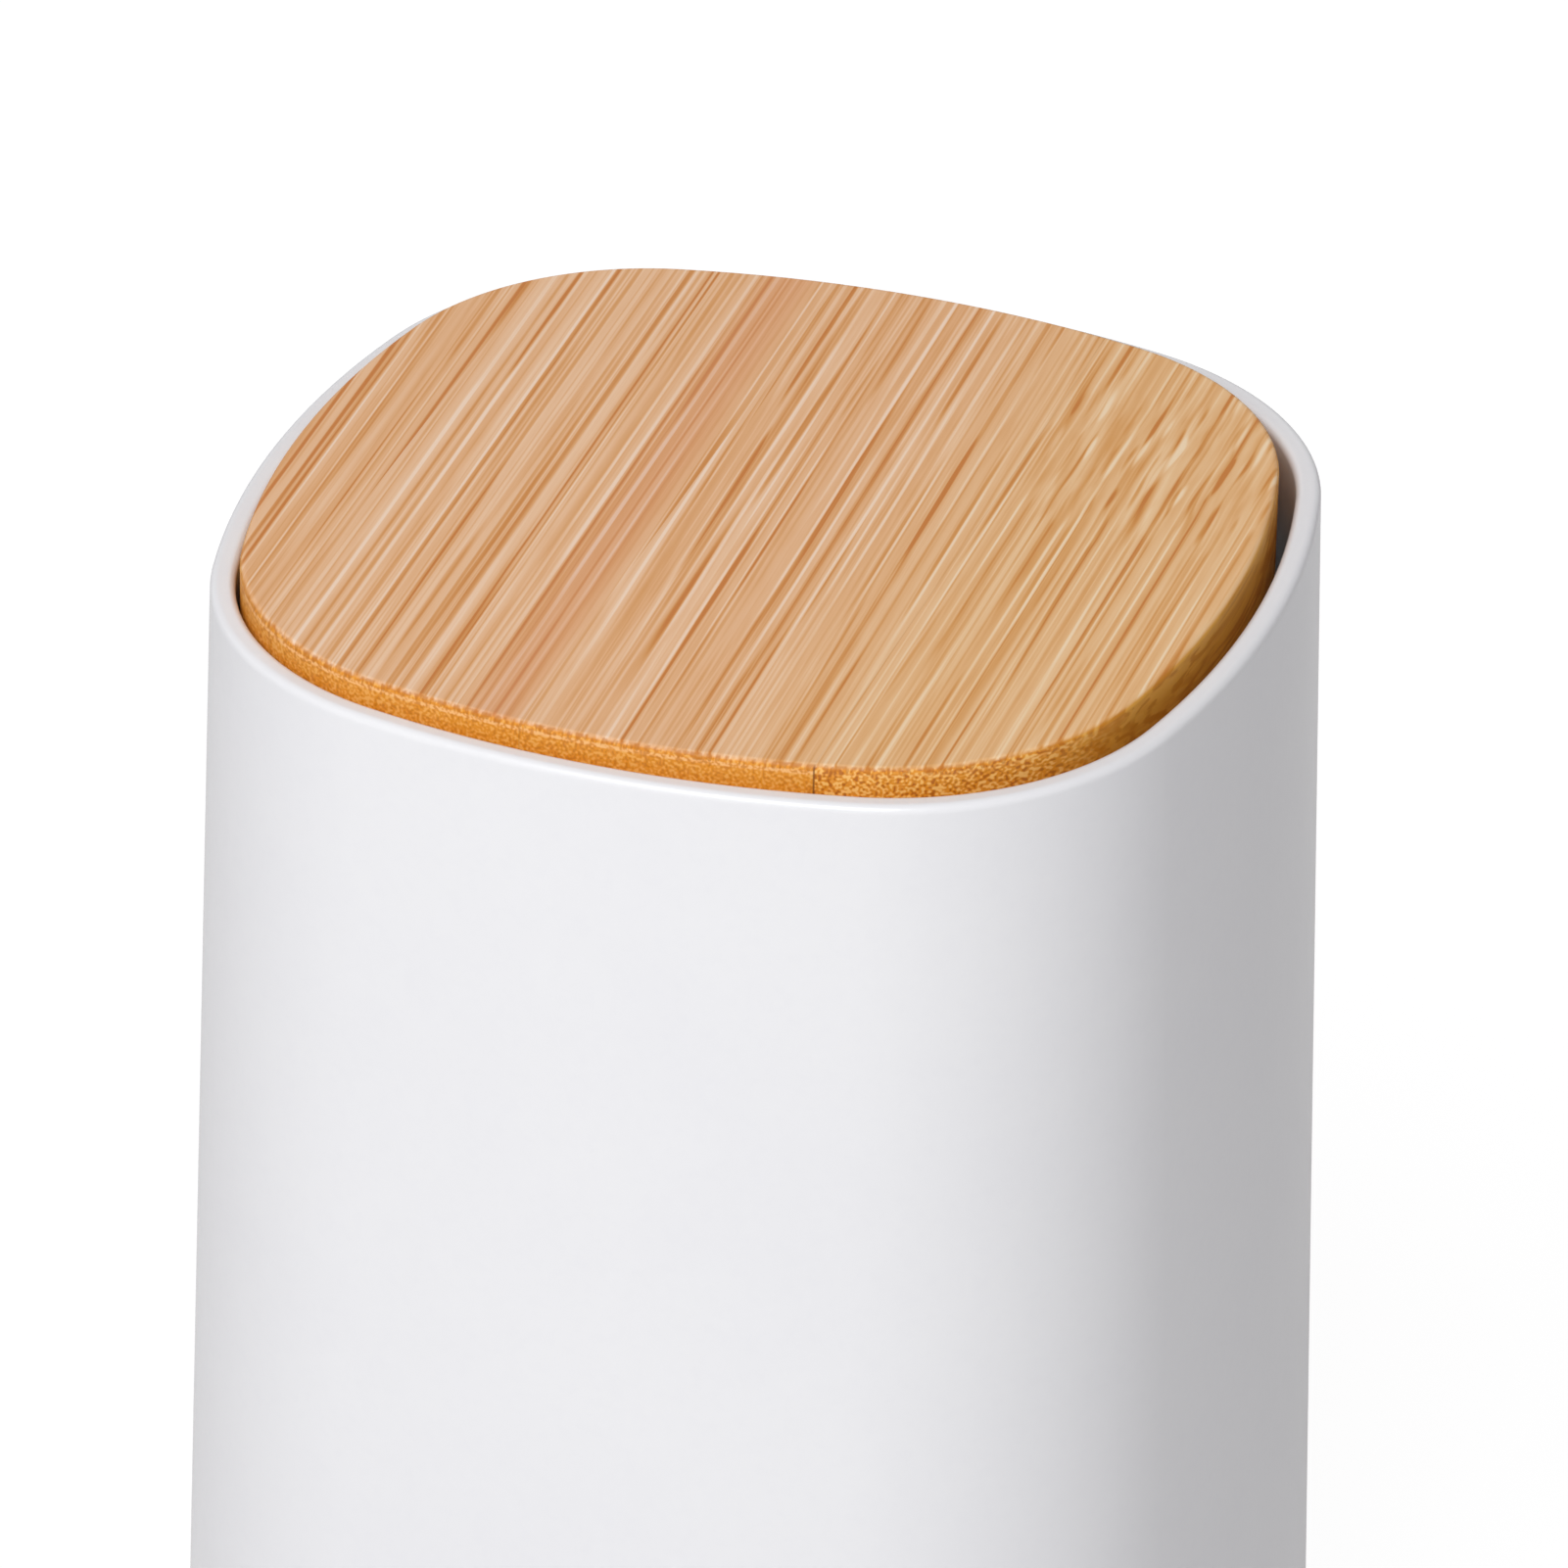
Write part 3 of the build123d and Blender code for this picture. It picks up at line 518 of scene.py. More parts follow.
# -------------------- shader groups
def object_mm(tree):
    """Object coordinates in millimetres."""
    place = add(tree, "ShaderNodeTexCoord").outputs["Object"]
    return add(tree, "ShaderNodeMapping", {"Vector": place, "Scale": (1000.0, 1000.0, 1000.0)}).outputs[0]


def moulded_skin_group():
    """The skin that a plastic or rubber piece takes from its mould: fine peel and slow waves of gloss."""
    tree, given, result = new_group(
        "moulded_skin", "ShaderNodeTree",
        {"Place": ("Vector", None), "Grain": ("Float", 6.0), "Colour": ("Color", (0.8, 0.8, 0.8, 1.0)),
         "Shade": ("Color", (0.7, 0.7, 0.7, 1.0)), "Shading": ("Float", 0.3),
         "Roughness": ("Float", 0.45), "Spread": ("Float", 0.08)},
        {"Colour": "Color", "Roughness": "Float", "Height": "Float"})
    calc, fit = partial(math_node, tree), partial(fit_range, tree)
    waves = noise(tree, given["Place"], 0.09, 3.0, 0.55)
    peel = noise(tree, given["Place"], given["Grain"], 2.0, 0.6)
    flecks = noise(tree, given["Place"], calc("MULTIPLY", given["Grain"], 0.27), 1.0)
    shade = calc("MULTIPLY", fit(waves, 0.35, 0.7), given["Shading"])
    fleck = calc("MULTIPLY", fit(flecks, 0.45, 0.75), given["Shading"], 0.5)
    tone = blend_colour(tree, calc("ADD", shade, fleck), given["Colour"], given["Shade"])
    gloss = calc("MULTIPLY", calc("SUBTRACT", waves, 0.5), given["Spread"])
    fine = calc("MULTIPLY", calc("SUBTRACT", peel, 0.5), given["Spread"])
    tree.links.new(tone, result["Colour"])
    tree.links.new(calc("ADD", given["Roughness"], gloss, fine), result["Roughness"])
    tree.links.new(peel, result["Height"])
    return tree


def settled_dust_group():
    """A thin veil of dust on faces that look up, thicker in patches."""
    tree, given, result = new_group(
        "settled_dust", "ShaderNodeTree",
        {"Place": ("Vector", None), "Amount": ("Float", 0.2)}, {"Dust": "Float"})
    calc, fit = partial(math_node, tree), partial(fit_range, tree)
    upward = parts(tree, add(tree, "ShaderNodeTexCoord").outputs["Normal"])["Z"]
    patches = noise(tree, given["Place"], 0.35, 5.0, 0.65)
    specks = noise(tree, given["Place"], 5.0)
    veil = calc("MULTIPLY", fit(upward, 0.3, 1.0), fit(patches, 0.4, 0.75))
    speck = calc("MULTIPLY", fit(specks, 0.6, 0.75), 0.5)
    dust = calc("MULTIPLY", calc("ADD", veil, speck), given["Amount"], clamp=True)
    tree.links.new(dust, result["Dust"])
    return tree


def worn_metal_group():
    """Drawn or plated steel: a cloudy tone, and lines as fine along each axis as Lines says."""
    tree, given, result = new_group(
        "worn_metal", "ShaderNodeTree",
        {"Place": ("Vector", None), "Lines": ("Vector", (12.0, 12.0, 0.8)),
         "Colour": ("Color", (0.6, 0.6, 0.6, 1.0)), "Tarnish": ("Color", (0.4, 0.38, 0.34, 1.0)),
         "Roughness": ("Float", 0.3)},
        {"Colour": "Color", "Roughness": "Float", "Height": "Float"})
    lines = noise(tree, vector_math(tree, "MULTIPLY", given["Place"], given["Lines"]), 1.0, 3.0)
    clouds = noise(tree, given["Place"], 0.9, 4.0, 0.6)
    tone = blend_colour(tree, fit_range(tree, clouds, 0.45, 0.8), given["Colour"], given["Tarnish"])
    rough = math_node(tree, "ADD", given["Roughness"], fit_range(tree, lines, 0.3, 0.7, -0.08, 0.1))
    tree.links.new(tone, result["Colour"])
    tree.links.new(rough, result["Roughness"])
    tree.links.new(lines, result["Height"])
    return tree


moulded_skin = moulded_skin_group()
settled_dust = settled_dust_group()
worn_metal = worn_metal_group()


# -------------------- materials
def new_material(name, **sockets):
    """A material with its Principled shader's plain sockets set; gives both and its tree."""
    made = bpy.data.materials.new(name)
    made.use_nodes = True
    tree = made.node_tree
    shader = next(n for n in tree.nodes if n.type == "BSDF_PRINCIPLED")
    for label, value in sockets.items():
        shader.inputs[label.replace("_", " ")].default_value = value
    return made, tree, shader


def group_outputs(tree, group, place, **values):
    """A shader group's outputs at a place, with its other inputs set."""
    made = add(tree, "ShaderNodeGroup", node_tree=group)
    tree.links.new(place, made.inputs["Place"])
    for label, value in values.items():
        made.inputs[label].default_value = value
    return made.outputs


def finish_shader(tree, shader, tone, rough, height, depth):
    """Gives the shader its colour and roughness, and bumps as deep as depth."""
    tree.links.new(tone, shader.inputs["Base Color"])
    tree.links.new(rough, shader.inputs["Roughness"])
    bump = add(tree, "ShaderNodeBump", {"Height": height, "Distance": depth, "Strength": 1.0})
    tree.links.new(bump.outputs[0], shader.inputs["Normal"])


def moulded(name, tone, shade, shading, roughness, grain, spread, peel, dust=0.0, **sockets):
    """A moulded plastic or rubber; peel is the depth of its fine bumps in millimetres."""
    made, tree, shader = new_material(name, **sockets)
    place = object_mm(tree)
    skin = group_outputs(tree, moulded_skin, place, Colour=tone, Shade=shade, Shading=shading,
                         Roughness=roughness, Grain=grain, Spread=spread)
    base, rough = skin["Colour"], skin["Roughness"]
    if dust:
        veil = group_outputs(tree, settled_dust, place, Amount=dust)["Dust"]
        base = blend_colour(tree, veil, base, colour(196, 190, 180))
        rough = math_node(tree, "ADD", rough, math_node(tree, "MULTIPLY", veil, 0.4))
    finish_shader(tree, shader, base, rough, skin["Height"], peel * mm)
    return made


def steel(name, tone, tarnish, roughness, lines):
    """A drawn or plated steel."""
    made, tree, shader = new_material(name, Metallic=1.0)
    skin = group_outputs(tree, worn_metal, object_mm(tree), Colour=tone, Tarnish=tarnish,
                         Roughness=roughness, Lines=lines)
    finish_shader(tree, shader, skin["Colour"], skin["Roughness"], skin["Height"], 0.003 * mm)
    return made


def ramp(tree, value, stops):
    """A colour ramp through stops (place, colour)."""
    made = add(tree, "ShaderNodeValToRGB", {0: value})
    band = made.color_ramp.elements
    while len(band) < len(stops):
        band.new(0.5)
    for element, (place, tone) in zip(band, stops):
        element.position = place
        element.color = tone
    return made.outputs[0]


def fibres(tree, place, across, along, weight, apart=None):
    """Fibre lines as a value about 0: how fine they are across and along the cane, and how strong.

    Taking away a copy that lies apart from them leaves no broad waves, only lines of that width.
    """
    fine = vector_math(tree, "MULTIPLY", place, (across, along, across))
    lines = noise(tree, fine, 1.0, 0.0)
    level = 0.5
    if apart is not None:
        level = noise(tree, vector_math(tree, "ADD", fine, (apart * across, 0.0, 0.0)), 1.0, 0.0)
    return math_node(tree, "MULTIPLY", math_node(tree, "SUBTRACT", lines, level), weight)


def threads(tree, place, across, along, weight, apart):
    """Thin separate lines along the cane, from 0 to the weight."""
    lines = fibres(tree, place, across, along, 1.0, apart)
    return math_node(tree, "MULTIPLY", fit_range(tree, lines, 0.1, 0.3), weight)


def bamboo_strips(tree, at):
    """Three strips glued edge to edge.

    Gives 1 on the left and on the right strip, the distance from the nearest seam, and a jump of the
    coordinates from each strip to the next, which gives each its own fibres.
    """
    calc, fit = partial(math_node, tree), partial(fit_range, tree)
    strip_width, right_seam, jump_width = 16.2, 11.3, 37.3
    across = calc("DIVIDE", calc("SUBTRACT", at["X"], right_seam), strip_width)
    from_seam = calc("MULTIPLY", calc("PINGPONG", across, 0.5), strip_width)
    jump = calc("MULTIPLY", calc("FLOOR", across), jump_width)
    right = fit(across, -0.001, 0.001, curve="LINEAR")
    left = fit(across, -0.999, -1.001, curve="LINEAR")
    return left, right, from_seam, jump


def bamboo_grain(tree, place, at, left, right, jump):
    """The fibres along Y: the top's tone from dark to light, its fine lines, and the dark band."""
    calc, fit = partial(math_node, tree), partial(fit_range, tree)
    stretched = partial(vector_math, tree, "MULTIPLY", place)

    def on_strips(on_left, on_middle, on_right):
        """A number for each strip."""
        return calc("ADD", calc("MULTIPLY", left, on_left - on_middle),
                    calc("MULTIPLY", right, on_right - on_middle), on_middle)

    # the knuckle, where the cane had a joint: short swaying fibres across the right strip
    knuckle_at, knuckle_shape = (19.5, 12.5, 96.0), (0.095, 0.105, 0.02)
    from_knuckle = vector_math(tree, "SUBTRACT", place, knuckle_at)
    away = vector_math(tree, "LENGTH", vector_math(tree, "MULTIPLY", from_knuckle, knuckle_shape))
    rough_edge = noise(tree, stretched((0.5, 0.16, 0.5)), 1.0)
    ragged = calc("ADD", away, calc("SUBTRACT", rough_edge, 0.5))
    knuckle = calc("MULTIPLY", fit(ragged, 1.05, 0.5), right)
    sway = calc("SUBTRACT", noise(tree, stretched((0.2, 0.13, 0.2)), 1.0, 1.0), 0.5)
    sway = calc("MULTIPLY", sway, fit(knuckle, 0.0, 1.0, 0.03, 0.4, "LINEAR"))
    lean = calc("MULTIPLY", at["Y"], on_strips(0.022, 0.0295, 0.0145))
    shift = calc("ADD", lean, calc("ADD", sway, jump))
    cane = vector_math(tree, "ADD", place, vector(tree, shift, 0.0, jump))

    def cane_lines(broad, thin):
        """Fibres and thin threads together: how fine across and along, how strong and how far apart."""
        return calc("ADD", *[fibres(tree, cane, *values) for values in broad],
                    *[threads(tree, cane, *values) for values in thin])

    # fibres that run right through, streaks that come and go, and the knuckle's short ones
    steady = cane_lines(
        [(0.06, 0.001, 0.26), (0.28, 0.001, 0.2), (0.6, 0.001, 0.18), (0.95, 0.001, 0.3, 0.5),
         (1.5, 0.001, 0.24, 0.32)],
        [(2.0, 0.0015, -0.42, 0.24), (3.1, 0.0015, -0.28, 0.16), (2.6, 0.0015, 0.32, 0.2)])
    long_lines = cane_lines(
        [(0.9, 0.045, 0.3, 0.5), (1.5, 0.05, 0.2, 0.32), (5.0, 0.3, 0.14)],
        [(1.9, 0.045, -0.4, 0.26), (2.6, 0.045, 0.3, 0.2)])
    short_lines = cane_lines(
        [(1.0, 0.1, 0.7, 0.5), (1.6, 0.14, 0.5, 0.32), (5.0, 0.5, 0.16)],
        [(1.4, 0.17, 0.6, 0.32), (1.8, 0.17, -0.5, 0.28)])
    fade = fit(knuckle, 0.0, 1.0, 1.0, 0.6, "LINEAR")
    steady = calc("MULTIPLY", steady, on_strips(1.13, 0.65, 0.98), fade)
    long_lines = calc("MULTIPLY", long_lines, on_strips(0.75, 1.0, 1.0))
    lines = blend_value(tree, calc("MULTIPLY", knuckle, 0.9), long_lines, short_lines)

    # one band on the left strip is darker
    band_x, middle_tone, band_depth = -7.1, 0.49, 0.19
    from_band = calc("ABSOLUTE", calc("SUBTRACT", parts(tree, cane)["X"], jump, band_x))
    band = calc("MULTIPLY", fit(from_band, 2.2, 0.5), left)
    value = calc("SUBTRACT", calc("ADD", steady, lines, middle_tone), calc("MULTIPLY", band, band_depth))
    return value, lines, band


def bamboo_material():
    """Oiled laminated bamboo with cut edges; lengths in it are in millimetres."""
    made, tree, shader = new_material("oiled_bamboo", Specular_IOR_Level=0.35)
    calc, fit, tint = partial(math_node, tree), partial(fit_range, tree), partial(blend_colour, tree)
    place = object_mm(tree)
    stretched = partial(vector_math, tree, "MULTIPLY", place)
    at = parts(tree, place)
    left, right, from_seam, jump = bamboo_strips(tree, at)
    value, lines, band = bamboo_grain(tree, place, at, left, right, jump)
    top_tone = ramp(tree, value, [
        (0.0, colour(207, 128, 60)), (0.12, colour(215, 144, 76)), (0.26, colour(226, 163, 101)),
        (0.5, colour(239, 187, 139)), (0.74, colour(248, 206, 167)), (1.0, colour(255, 225, 198))])
    # the band is redder, and the right side yellower
    top_tone = tint(calc("MULTIPLY", band, 0.4), top_tone, colour(228, 158, 112))
    top_tone = tint(fit(at["X"], 2.0, 16.0), top_tone, colour(253, 255, 240), "MULTIPLY")

    # the edge, where the cut fibres drink more oil and show as dots on the ends
    facing = parts(tree, add(tree, "ShaderNodeTexCoord").outputs["Normal"])
    upward = calc("ABSOLUTE", facing["Z"])
    sideways = fit(upward, 0.92, 0.4)
    endways = fit(calc("ABSOLUTE", facing["Y"]), 0.25, 0.7)
    dots = noise(tree, stretched((5.6, 0.6, 5.6)), 1.0, 0.0)
    dot_strength = fit(right, 0.0, 1.0, 0.5, 1.0, "LINEAR")
    pale_dots = calc("MULTIPLY", fit(dots, 0.5, 0.68), dot_strength)
    dark_dots = calc("MULTIPLY", fit(dots, 0.44, 0.28), dot_strength)
    cut = tint(pale_dots, colour(226, 145, 32), colour(250, 196, 110))
    cut = tint(dark_dots, cut, colour(182, 100, 10))
    streaked = tint(fit(value, 0.35, 0.65), colour(206, 132, 22), colour(230, 162, 48))
    tone = tint(calc("MULTIPLY", sideways, 0.95), top_tone, tint(endways, streaked, cut))

    # where the fibres end, a pale line under the brink is a painted highlight on the edge's rounding,
    # stronger on the left, and small chips run along it
    top = lid_top / mm
    painted_highlight_line = calc("MULTIPLY", fit(at["Z"], top - 0.62, top - 0.52), fit(at["Z"], top - 0.3, top - 0.4))
    painted_highlight_line = calc("MULTIPLY", painted_highlight_line, endways, 0.5)
    painted_highlight_line = calc("MULTIPLY", painted_highlight_line, fit(right, 0.0, 1.0, 1.0, 0.3, "LINEAR"))
    painted_highlight_line = calc("MULTIPLY", painted_highlight_line, fit(dots, 0.4, 0.58, 0.3, 1.3))
    # the painted highlight under the brink is mixed into the edge's tone
    tone = tint(painted_highlight_line, tone, colour(252, 200, 140))
    chips = noise(tree, stretched((3.6, 1.8, 1.2)), 1.0, 1.0)
    chip_end = calc("SUBTRACT", top, fit(chips, 0.35, 0.65, 0.15, 0.5, "LINEAR"))
    brink = calc("MULTIPLY", fit(calc("SUBTRACT", at["Z"], chip_end), 0.0, 0.15), fit(upward, 0.985, 0.9))
    chipped = calc("MULTIPLY", brink, fit(chips, 0.42, 0.56, 0.15, 0.65), endways)
    tone = tint(chipped, tone, colour(186, 108, 22))

    # the seams, thin and dark on the edge and hardly seen on top
    glue = calc("MULTIPLY", fit(from_seam, 0.07, 0.03), fit(sideways, 0.0, 1.0, 0.06, 0.75, "LINEAR"))
    glue = calc("MULTIPLY", glue, fit(at["X"], 0.0, 5.0, 0.2, 1.0))
    tone = tint(glue, tone, colour(112, 66, 28))
    finish_shader(tree, shader, tone, fit(lines, -0.3, 0.3, 0.62, 0.5, "LINEAR"), value, 0.006 * mm)
    return made


satin_white = moulded("satin_white_shell", colour(240, 240, 242), colour(237, 237, 240), shading=0.5,
                      roughness=0.24, grain=5.0, spread=0.03, peel=0.003)
inner_white = moulded("matt_white_inner", colour(236, 236, 235), colour(224, 224, 224), shading=0.6,
                      roughness=0.55, grain=8.0, spread=0.1, peel=0.01)
natural_acetal = moulded("milky_acetal", colour(226, 226, 218), colour(208, 208, 198), shading=0.7,
                         roughness=0.4, grain=4.0, spread=0.12, peel=0.008,
                         Subsurface_Weight=0.15, Subsurface_Scale=0.002)
grey_acetal = moulded("grey_acetal", colour(110, 112, 116), colour(92, 94, 98), shading=0.7,
                      roughness=0.42, grain=5.0, spread=0.12, peel=0.008)
foot_rubber = moulded("foot_rubber", colour(62, 62, 64), colour(48, 48, 50), shading=0.8,
                      roughness=0.78, grain=9.0, spread=0.12, peel=0.02, dust=0.35)
bumper_rubber = moulded("bumper_rubber", colour(36, 36, 37), colour(26, 26, 27), shading=0.7,
                        roughness=0.7, grain=8.0, spread=0.12, peel=0.015, dust=0.15)
foam_tape = moulded("foam_tape", colour(232, 228, 214), colour(206, 200, 184), shading=0.9,
                    roughness=0.9, grain=3.2, spread=0.1, peel=0.12)
wire_steel = steel("drawn_wire", colour(176, 178, 182), colour(140, 138, 134), roughness=0.28,
                   lines=(9.0, 9.0, 9.0))
zinc_steel = steel("zinc_plate", colour(206, 206, 204), colour(170, 166, 150), roughness=0.34,
                   lines=(5.0, 5.0, 5.0))
bamboo = bamboo_material()


# -------------------- the lid
lid_bottom = low("bamboo_lid")
lid_profile = line_mesh(rounded([
    (lid_grow, 1.0, lid_top, 0),
    (lid_grow, 0.5, lid_top, 0),
    (lid_grow, 0.0, lid_top, 0.35 * mm),
    (lid_grow, 0.0, lid_bottom, 0.4 * mm),
    (lid_grow, 0.5, lid_bottom, 0),
    (lid_grow, 1.0, lid_bottom, 0)], closed=False))
lid = grow_piece("bamboo_press_lid", squircle_tree, lid_profile, {"Material": bamboo})
# bonded by hand, it stands a little off the middle of its opening
off_middle = (-0.3 * mm, -0.25 * mm, 0.0)
lid.data.transform(Matrix.Translation(off_middle))
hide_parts("bamboo_lid")
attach(lid, "carriage")


# -------------------- the shell
def outer_grow(z):
    """How far the shell's outside at height z lies beyond the rim's outline."""
    return (rim_z - z) * outer_slope


def inner_grow(z):
    """The same for its inside."""
    return (rim_z - z) * inner_slope - rim_wall


# the inside steps out at the foot, where the base plate's flange sits
rebate_grow = inner_grow(base_top_z) + 0.8 * mm
rim_round, foot_round = 0.45 * mm, 0.5 * mm
shell_profile = line_mesh(rounded([
    (outer_grow(rim_z), 0.0, rim_z, rim_round),
    (outer_grow(base_z), 0.0, base_z, foot_round),
    (rebate_grow, 0.0, base_z, 0),
    (rebate_grow, 0.0, base_top_z, 0),
    (inner_grow(base_top_z), 0.0, base_top_z, 0),
    (inner_grow(rim_z), 0.0, rim_z, rim_round)]))
rib_height = 1.3 * mm
rib_high = high("pick_tray") + 36.0 * mm
base_head = 2.5 * mm
boss_at = (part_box("base_screws")[1].x - base_head) * math.sqrt(2)
shell = grow_piece("satin_shell", fitted_shell_tree(), shell_profile, {
    "Rib Face": rim_width / 2 + inner_grow(rib_high) - rib_height, "Rib Height": rib_height,
    "Rib Low": base_top_z + 0.8 * mm, "Rib High": rib_high,
    "Boss At": boss_at, "Boss Low": base_top_z, "Boss High": high("base_screws") + 0.9 * mm,
    "Web End": boss_at + 6.4 * mm, "Pilot Depth": high("base_screws") - base_top_z + 0.05 * mm,
    "Material": satin_white})
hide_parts("outer_shell")
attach(shell, "housing")


# -------------------- screws
screws = screws_tree()


def screw_set(node, body, shank, head, circle, count, centre_y=0.0, first=0.0, left_out=-1, down=False):
    """The screws that stand for a CAD node, on a circle about a centre on the middle plane.

    The shank and the head are radii, and first is the first screw's angle in degrees.
    """
    length = high(node) - low(node)
    point, lip, thread_step = 1.0 * mm, 0.08 * mm, 0.15 * mm
    thread_low, thread_high = head - shank + 0.2 * mm, length - point
    steps = int((thread_high - thread_low) / thread_step)
    profile = [(0.0, 0.0, 0.0), (head * 0.5, 0.0, 0.0), (head - lip, 0.0, 0.0), (head, 0.0, lip),
               (shank + lip, 0.0, head - shank), (shank, 0.0, thread_low)]
    profile += [(shank, 1.0, thread_low + (thread_high - thread_low) * step / steps)
                for step in range(1, steps + 1)]
    profile += [(shank * 0.55, 0.4, length - point * 0.45), (0.0, 0.0, length)]
    face = high(node) if down else low(node)
    piece = grow_piece(node + "_threaded", screws, line_mesh(profile), {
        "Pitch": shank * 0.7, "Thread Depth": shank * 0.22, "Recess": head * 0.62, "Slot": head * 0.24,
        "Centre": (0.0, centre_y, face), "Circle": circle, "Count": count, "Left Out": left_out,
        "First Turn": math.radians(first), "Pointing Down": 1.0 if down else 0.0, "Material": zinc_steel})
    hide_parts(node)
    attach(piece, body)


def screw_ring(node, body, shank, head, count, **settings):
    """A set about the axis whose foremost screw stands right in front of it."""
    screw_set(node, body, shank, head, -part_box(node)[0].y - head, count, **settings)


screw_set("base_screws", "housing", 1.3 * mm, base_head, boss_at, 4, first=45)
screw_ring("tower_screws", "housing", 1.1 * mm, 2.1 * mm, 3, first=30)
screw_ring("tray_screws", "carriage", 1.1 * mm, 2.0 * mm, 4, left_out=1)
screw_ring("carrier_screws", "carriage", 1.0 * mm, 1.9 * mm, 3, first=30, down=True)
clamp_low, clamp_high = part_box("clamp_screws")
clamp_head = 1.8 * mm
screw_set("clamp_screws", "housing", 0.9 * mm, clamp_head, clamp_high.x - clamp_head, 2,
          centre_y=(clamp_low.y + clamp_high.y) / 2, down=True)


# -------------------- latch wire and lift spring
wire = 0.7 * mm
wire_low, wire_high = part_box("latch_wire")
foot_z = wire_low.z + wire / 2
stem_y = wire_low.y + wire / 2
tip_z = wire_high.z - wire / 2
tip_reach = 1.25 * mm
wire_line = line_mesh([(0.0, wire_high.y, foot_z), (0.0, stem_y, foot_z), (0.0, stem_y, tip_z),
                       (0.0, stem_y + tip_reach, tip_z)])
latch = grow_piece("bent_latch_wire", bent_wire_tree(), wire_line, {"Wire": wire, "Material": wire_steel})
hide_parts("latch_wire")
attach(latch, "housing")

spring_low, spring_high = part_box("lift_spring")
spring_wire = 0.5 * mm
spring = grow_piece("round_wire_spring", coil_spring_tree(), line_mesh([(0.0, 0.0, 0.0)]), {
    "Coil Radius": spring_high.x - spring_wire / 2, "Wire": spring_wire, "Low": spring_low.z,
    "High": spring_high.z, "Material": wire_steel})
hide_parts("lift_spring")
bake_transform(spring)


# -------------------- the CAD nodes' finishes
# nodes that a piece replaces have theirs too
finishes = {
    satin_white: ["outer_shell"],
    inner_white: ["base_plate", "lid_carrier", "centre_column", "pick_tray"],
    natural_acetal: ["guide_tower", "cam_bush"],
    grey_acetal: ["wire_clamp", "guide_collar", "push_rod"],
    foot_rubber: ["foot_pad"],
    bumper_rubber: ["stop_bumper"],
    foam_tape: ["bond_pad"],
    wire_steel: ["latch_wire", "collar_clip", "lift_spring"],
    zinc_steel: ["base_screws", "tower_screws", "clamp_screws", "carrier_screws", "tray_screws"],
    bamboo: ["bamboo_lid"],
}
for material, names in finishes.items():
    for name in names:
        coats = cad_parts[name].data.materials
        coats.clear()
        coats.append(material)


# -------------------- floor, light and camera
def white_to_camera(tree, lit, other, mirrored=1.0):
    """Mixes towards other where the camera or glass looks at it, and by a share where a skin mirrors it."""
    calc = partial(math_node, tree)
    path = add(tree, "ShaderNodeLightPath").outputs
    seen = calc("MAXIMUM", path["Is Camera Ray"], path["Is Transmission Ray"],
                calc("MULTIPLY", path["Is Glossy Ray"], mirrored))
    return add(tree, "ShaderNodeMixShader", {0: seen, 1: lit, 2: other}).outputs[0]


def make_floor():
    """A wide white table; the camera sees it near white, with the object's soft shadow."""
    shadow_free, mirrored = 0.86, 0.35
    mesh = bpy.data.meshes.new("floor")
    shape = bmesh.new()
    bmesh.ops.create_grid(shape, x_segments=8, y_segments=8, size=6.0)
    shape.to_mesh(mesh)
    shape.free()
    floor = bpy.data.objects.new("floor", mesh)
    bpy.context.scene.collection.objects.link(floor)
    made = bpy.data.materials.new("pale_floor")
    made.use_nodes = True
    tree = made.node_tree
    tree.nodes.clear()
    lit = add(tree, "ShaderNodeBsdfDiffuse", {"Color": (0.82, 0.82, 0.82, 1.0)}).outputs[0]
    bright = add(tree, "ShaderNodeBsdfDiffuse", {"Color": pure_white}).outputs[0]
    glow = add(tree, "ShaderNodeEmission", {"Color": pure_white, "Strength": 1.08}).outputs[0]
    pale = add(tree, "ShaderNodeMixShader", {0: shadow_free, 1: bright, 2: glow}).outputs[0]
    out = add(tree, "ShaderNodeOutputMaterial")
    tree.links.new(white_to_camera(tree, lit, pale, mirrored), out.inputs[0])
    mesh.materials.append(made)


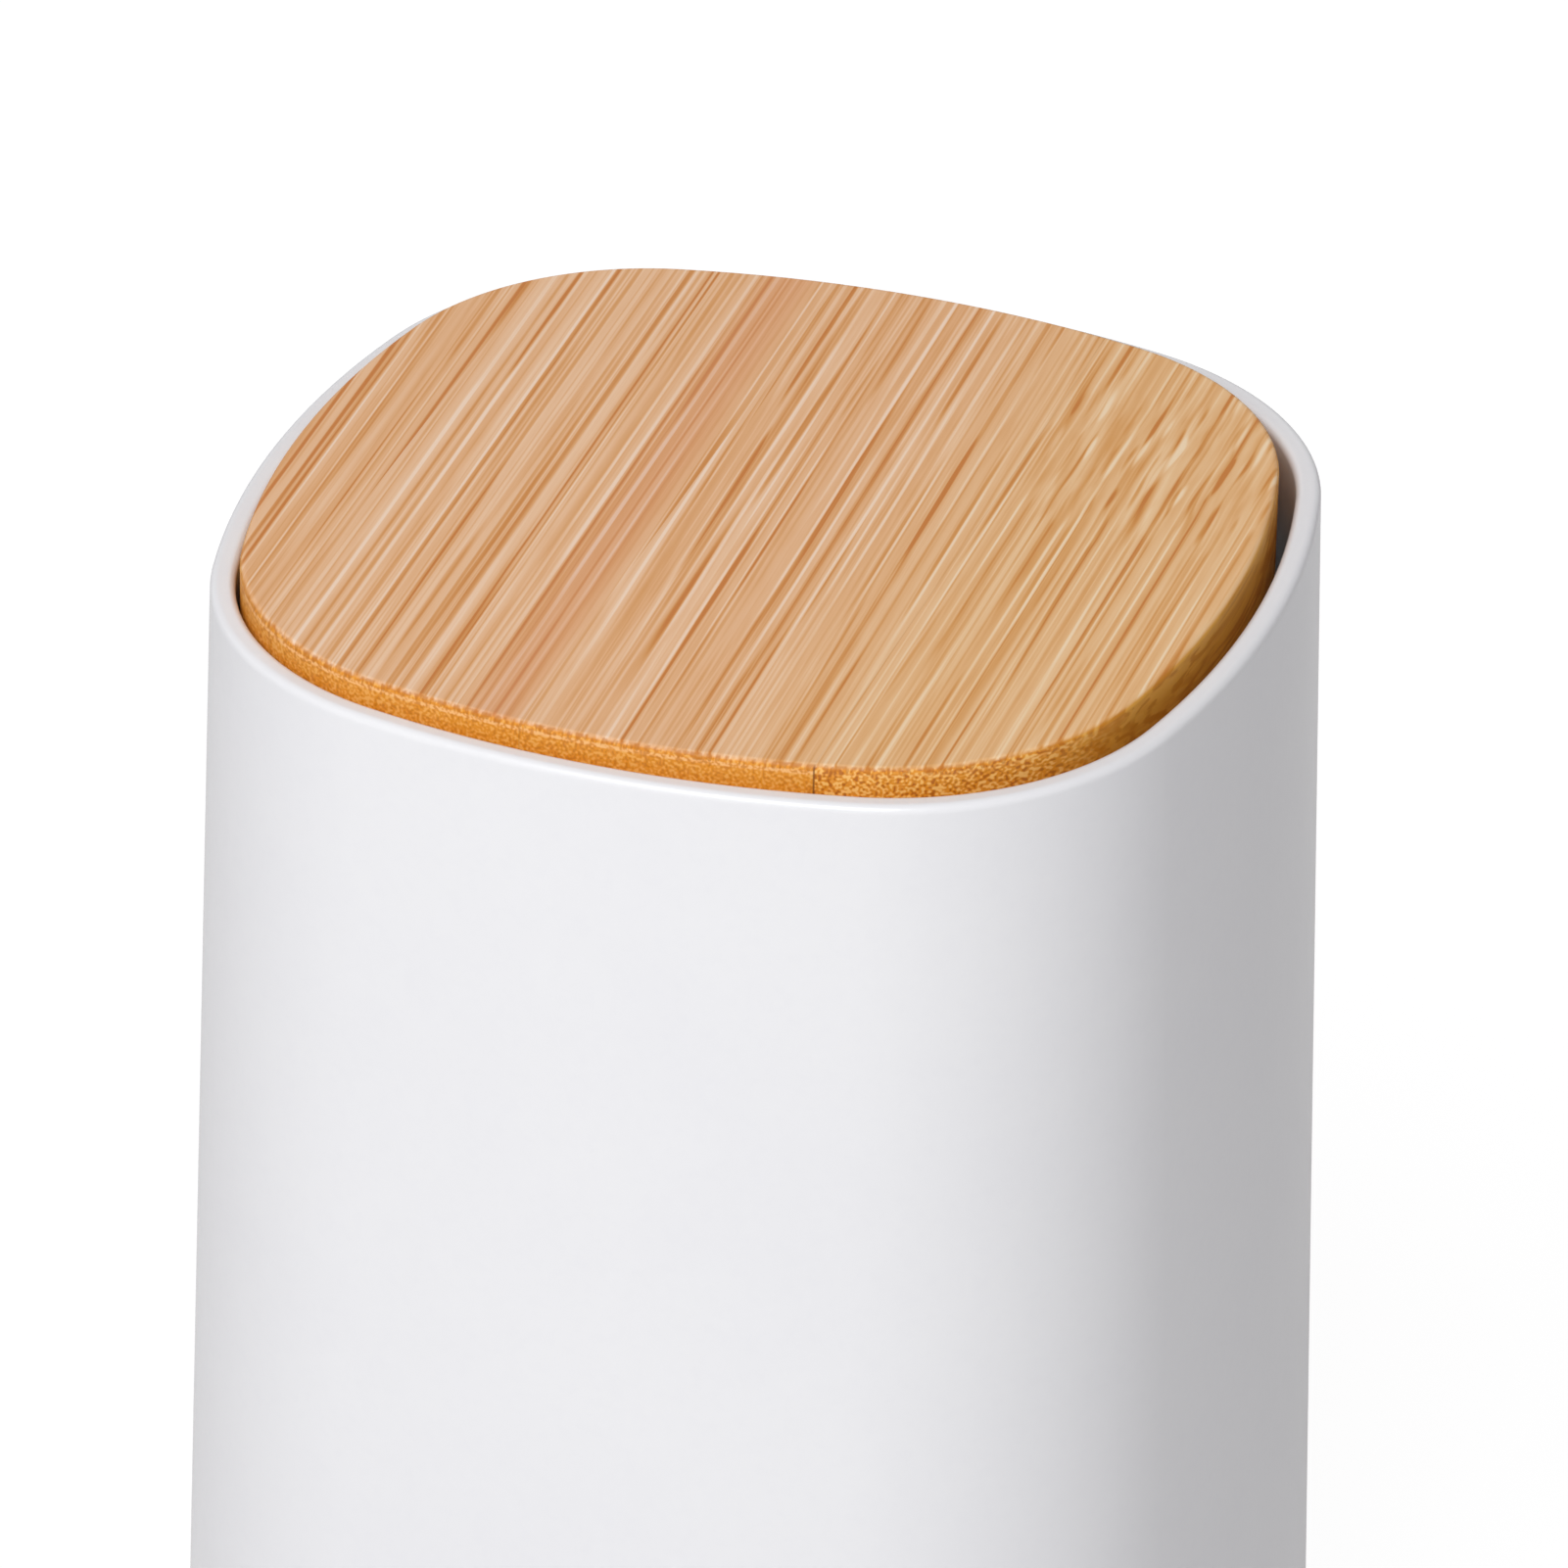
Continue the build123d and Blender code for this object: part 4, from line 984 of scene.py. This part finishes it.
def make_world():
    """A softly lit room, dim on the right and behind it, which the camera sees as white."""
    world = bpy.data.worlds.new("studio")
    bpy.context.scene.world = world
    world.use_nodes = True
    tree = world.node_tree
    tree.nodes.clear()
    dim_turn, full, dim = math.radians(28), 0.335, 0.1
    dim_way = (math.cos(dim_turn), math.sin(dim_turn), 0.0)
    way = add(tree, "ShaderNodeTexCoord").outputs["Generated"]
    level = fit_range(tree, vector_math(tree, "DOT_PRODUCT", way, dim_way), 0.2, 0.95, full, dim)
    pink_white = (1.0, 0.955, 0.985, 1.0)
    fill = add(tree, "ShaderNodeBackground", {"Color": pink_white, "Strength": level}).outputs[0]
    white = add(tree, "ShaderNodeBackground", {"Color": pure_white, "Strength": 1.0}).outputs[0]
    out = add(tree, "ShaderNodeOutputWorld")
    tree.links.new(white_to_camera(tree, fill, white), out.inputs[0])


def soft_lamp(name, place, aim, size, watts, tint):
    """A square soft box that shines on a point."""
    lamp = bpy.data.lights.new(name, "AREA")
    lamp.shape = "SQUARE"
    lamp.size = size
    lamp.energy = watts
    lamp.color = tint
    made = bpy.data.objects.new(name, lamp)
    made.location = place
    way = Vector(aim) - Vector(place)
    made.rotation_euler = way.to_track_quat("-Z", "Y").to_euler()
    bpy.context.scene.collection.objects.link(made)


def make_camera(azimuth, elevation, roll, distance, lens, across, along):
    """Looks at the rim's middle from a turn about the dispenser, moved across and along the picture."""
    turn, rise = math.radians(azimuth), math.radians(elevation)
    back = Vector((math.sin(turn) * math.cos(rise), -math.cos(turn) * math.cos(rise), math.sin(rise)))
    right = Vector((math.cos(turn), math.sin(turn), 0.0))
    up = back.cross(right)
    tilt = math.radians(roll)
    side = math.cos(tilt) * right + math.sin(tilt) * up
    top = -math.sin(tilt) * right + math.cos(tilt) * up
    data = bpy.data.cameras.new("camera")
    data.lens = lens
    data.sensor_width = 36.0
    data.clip_start, data.clip_end = 0.01, 20.0
    camera = bpy.data.objects.new("camera", data)
    spot = Vector((0.0, 0.0, rim_z)) + right * across + up * along + back * distance
    camera.matrix_world = Matrix.Translation(spot) @ Matrix((side, top, back)).transposed().to_4x4()
    bpy.context.scene.collection.objects.link(camera)
    bpy.context.scene.camera = camera


pure_white = (1.0, 1.0, 1.0, 1.0)
make_floor()
make_world()
soft_lamp("key", place=(0.0, -0.92, 0.98), aim=(0.0, 0.0, 0.06), size=0.8, watts=12.5,
          tint=(0.985, 1.0, 1.0))
make_camera(azimuth=18.205, elevation=29.947, roll=1.037, distance=0.6917, lens=289.46,
            across=1.021 * mm, along=-14.013 * mm)
bpy.context.scene.view_settings.view_transform = "Standard"
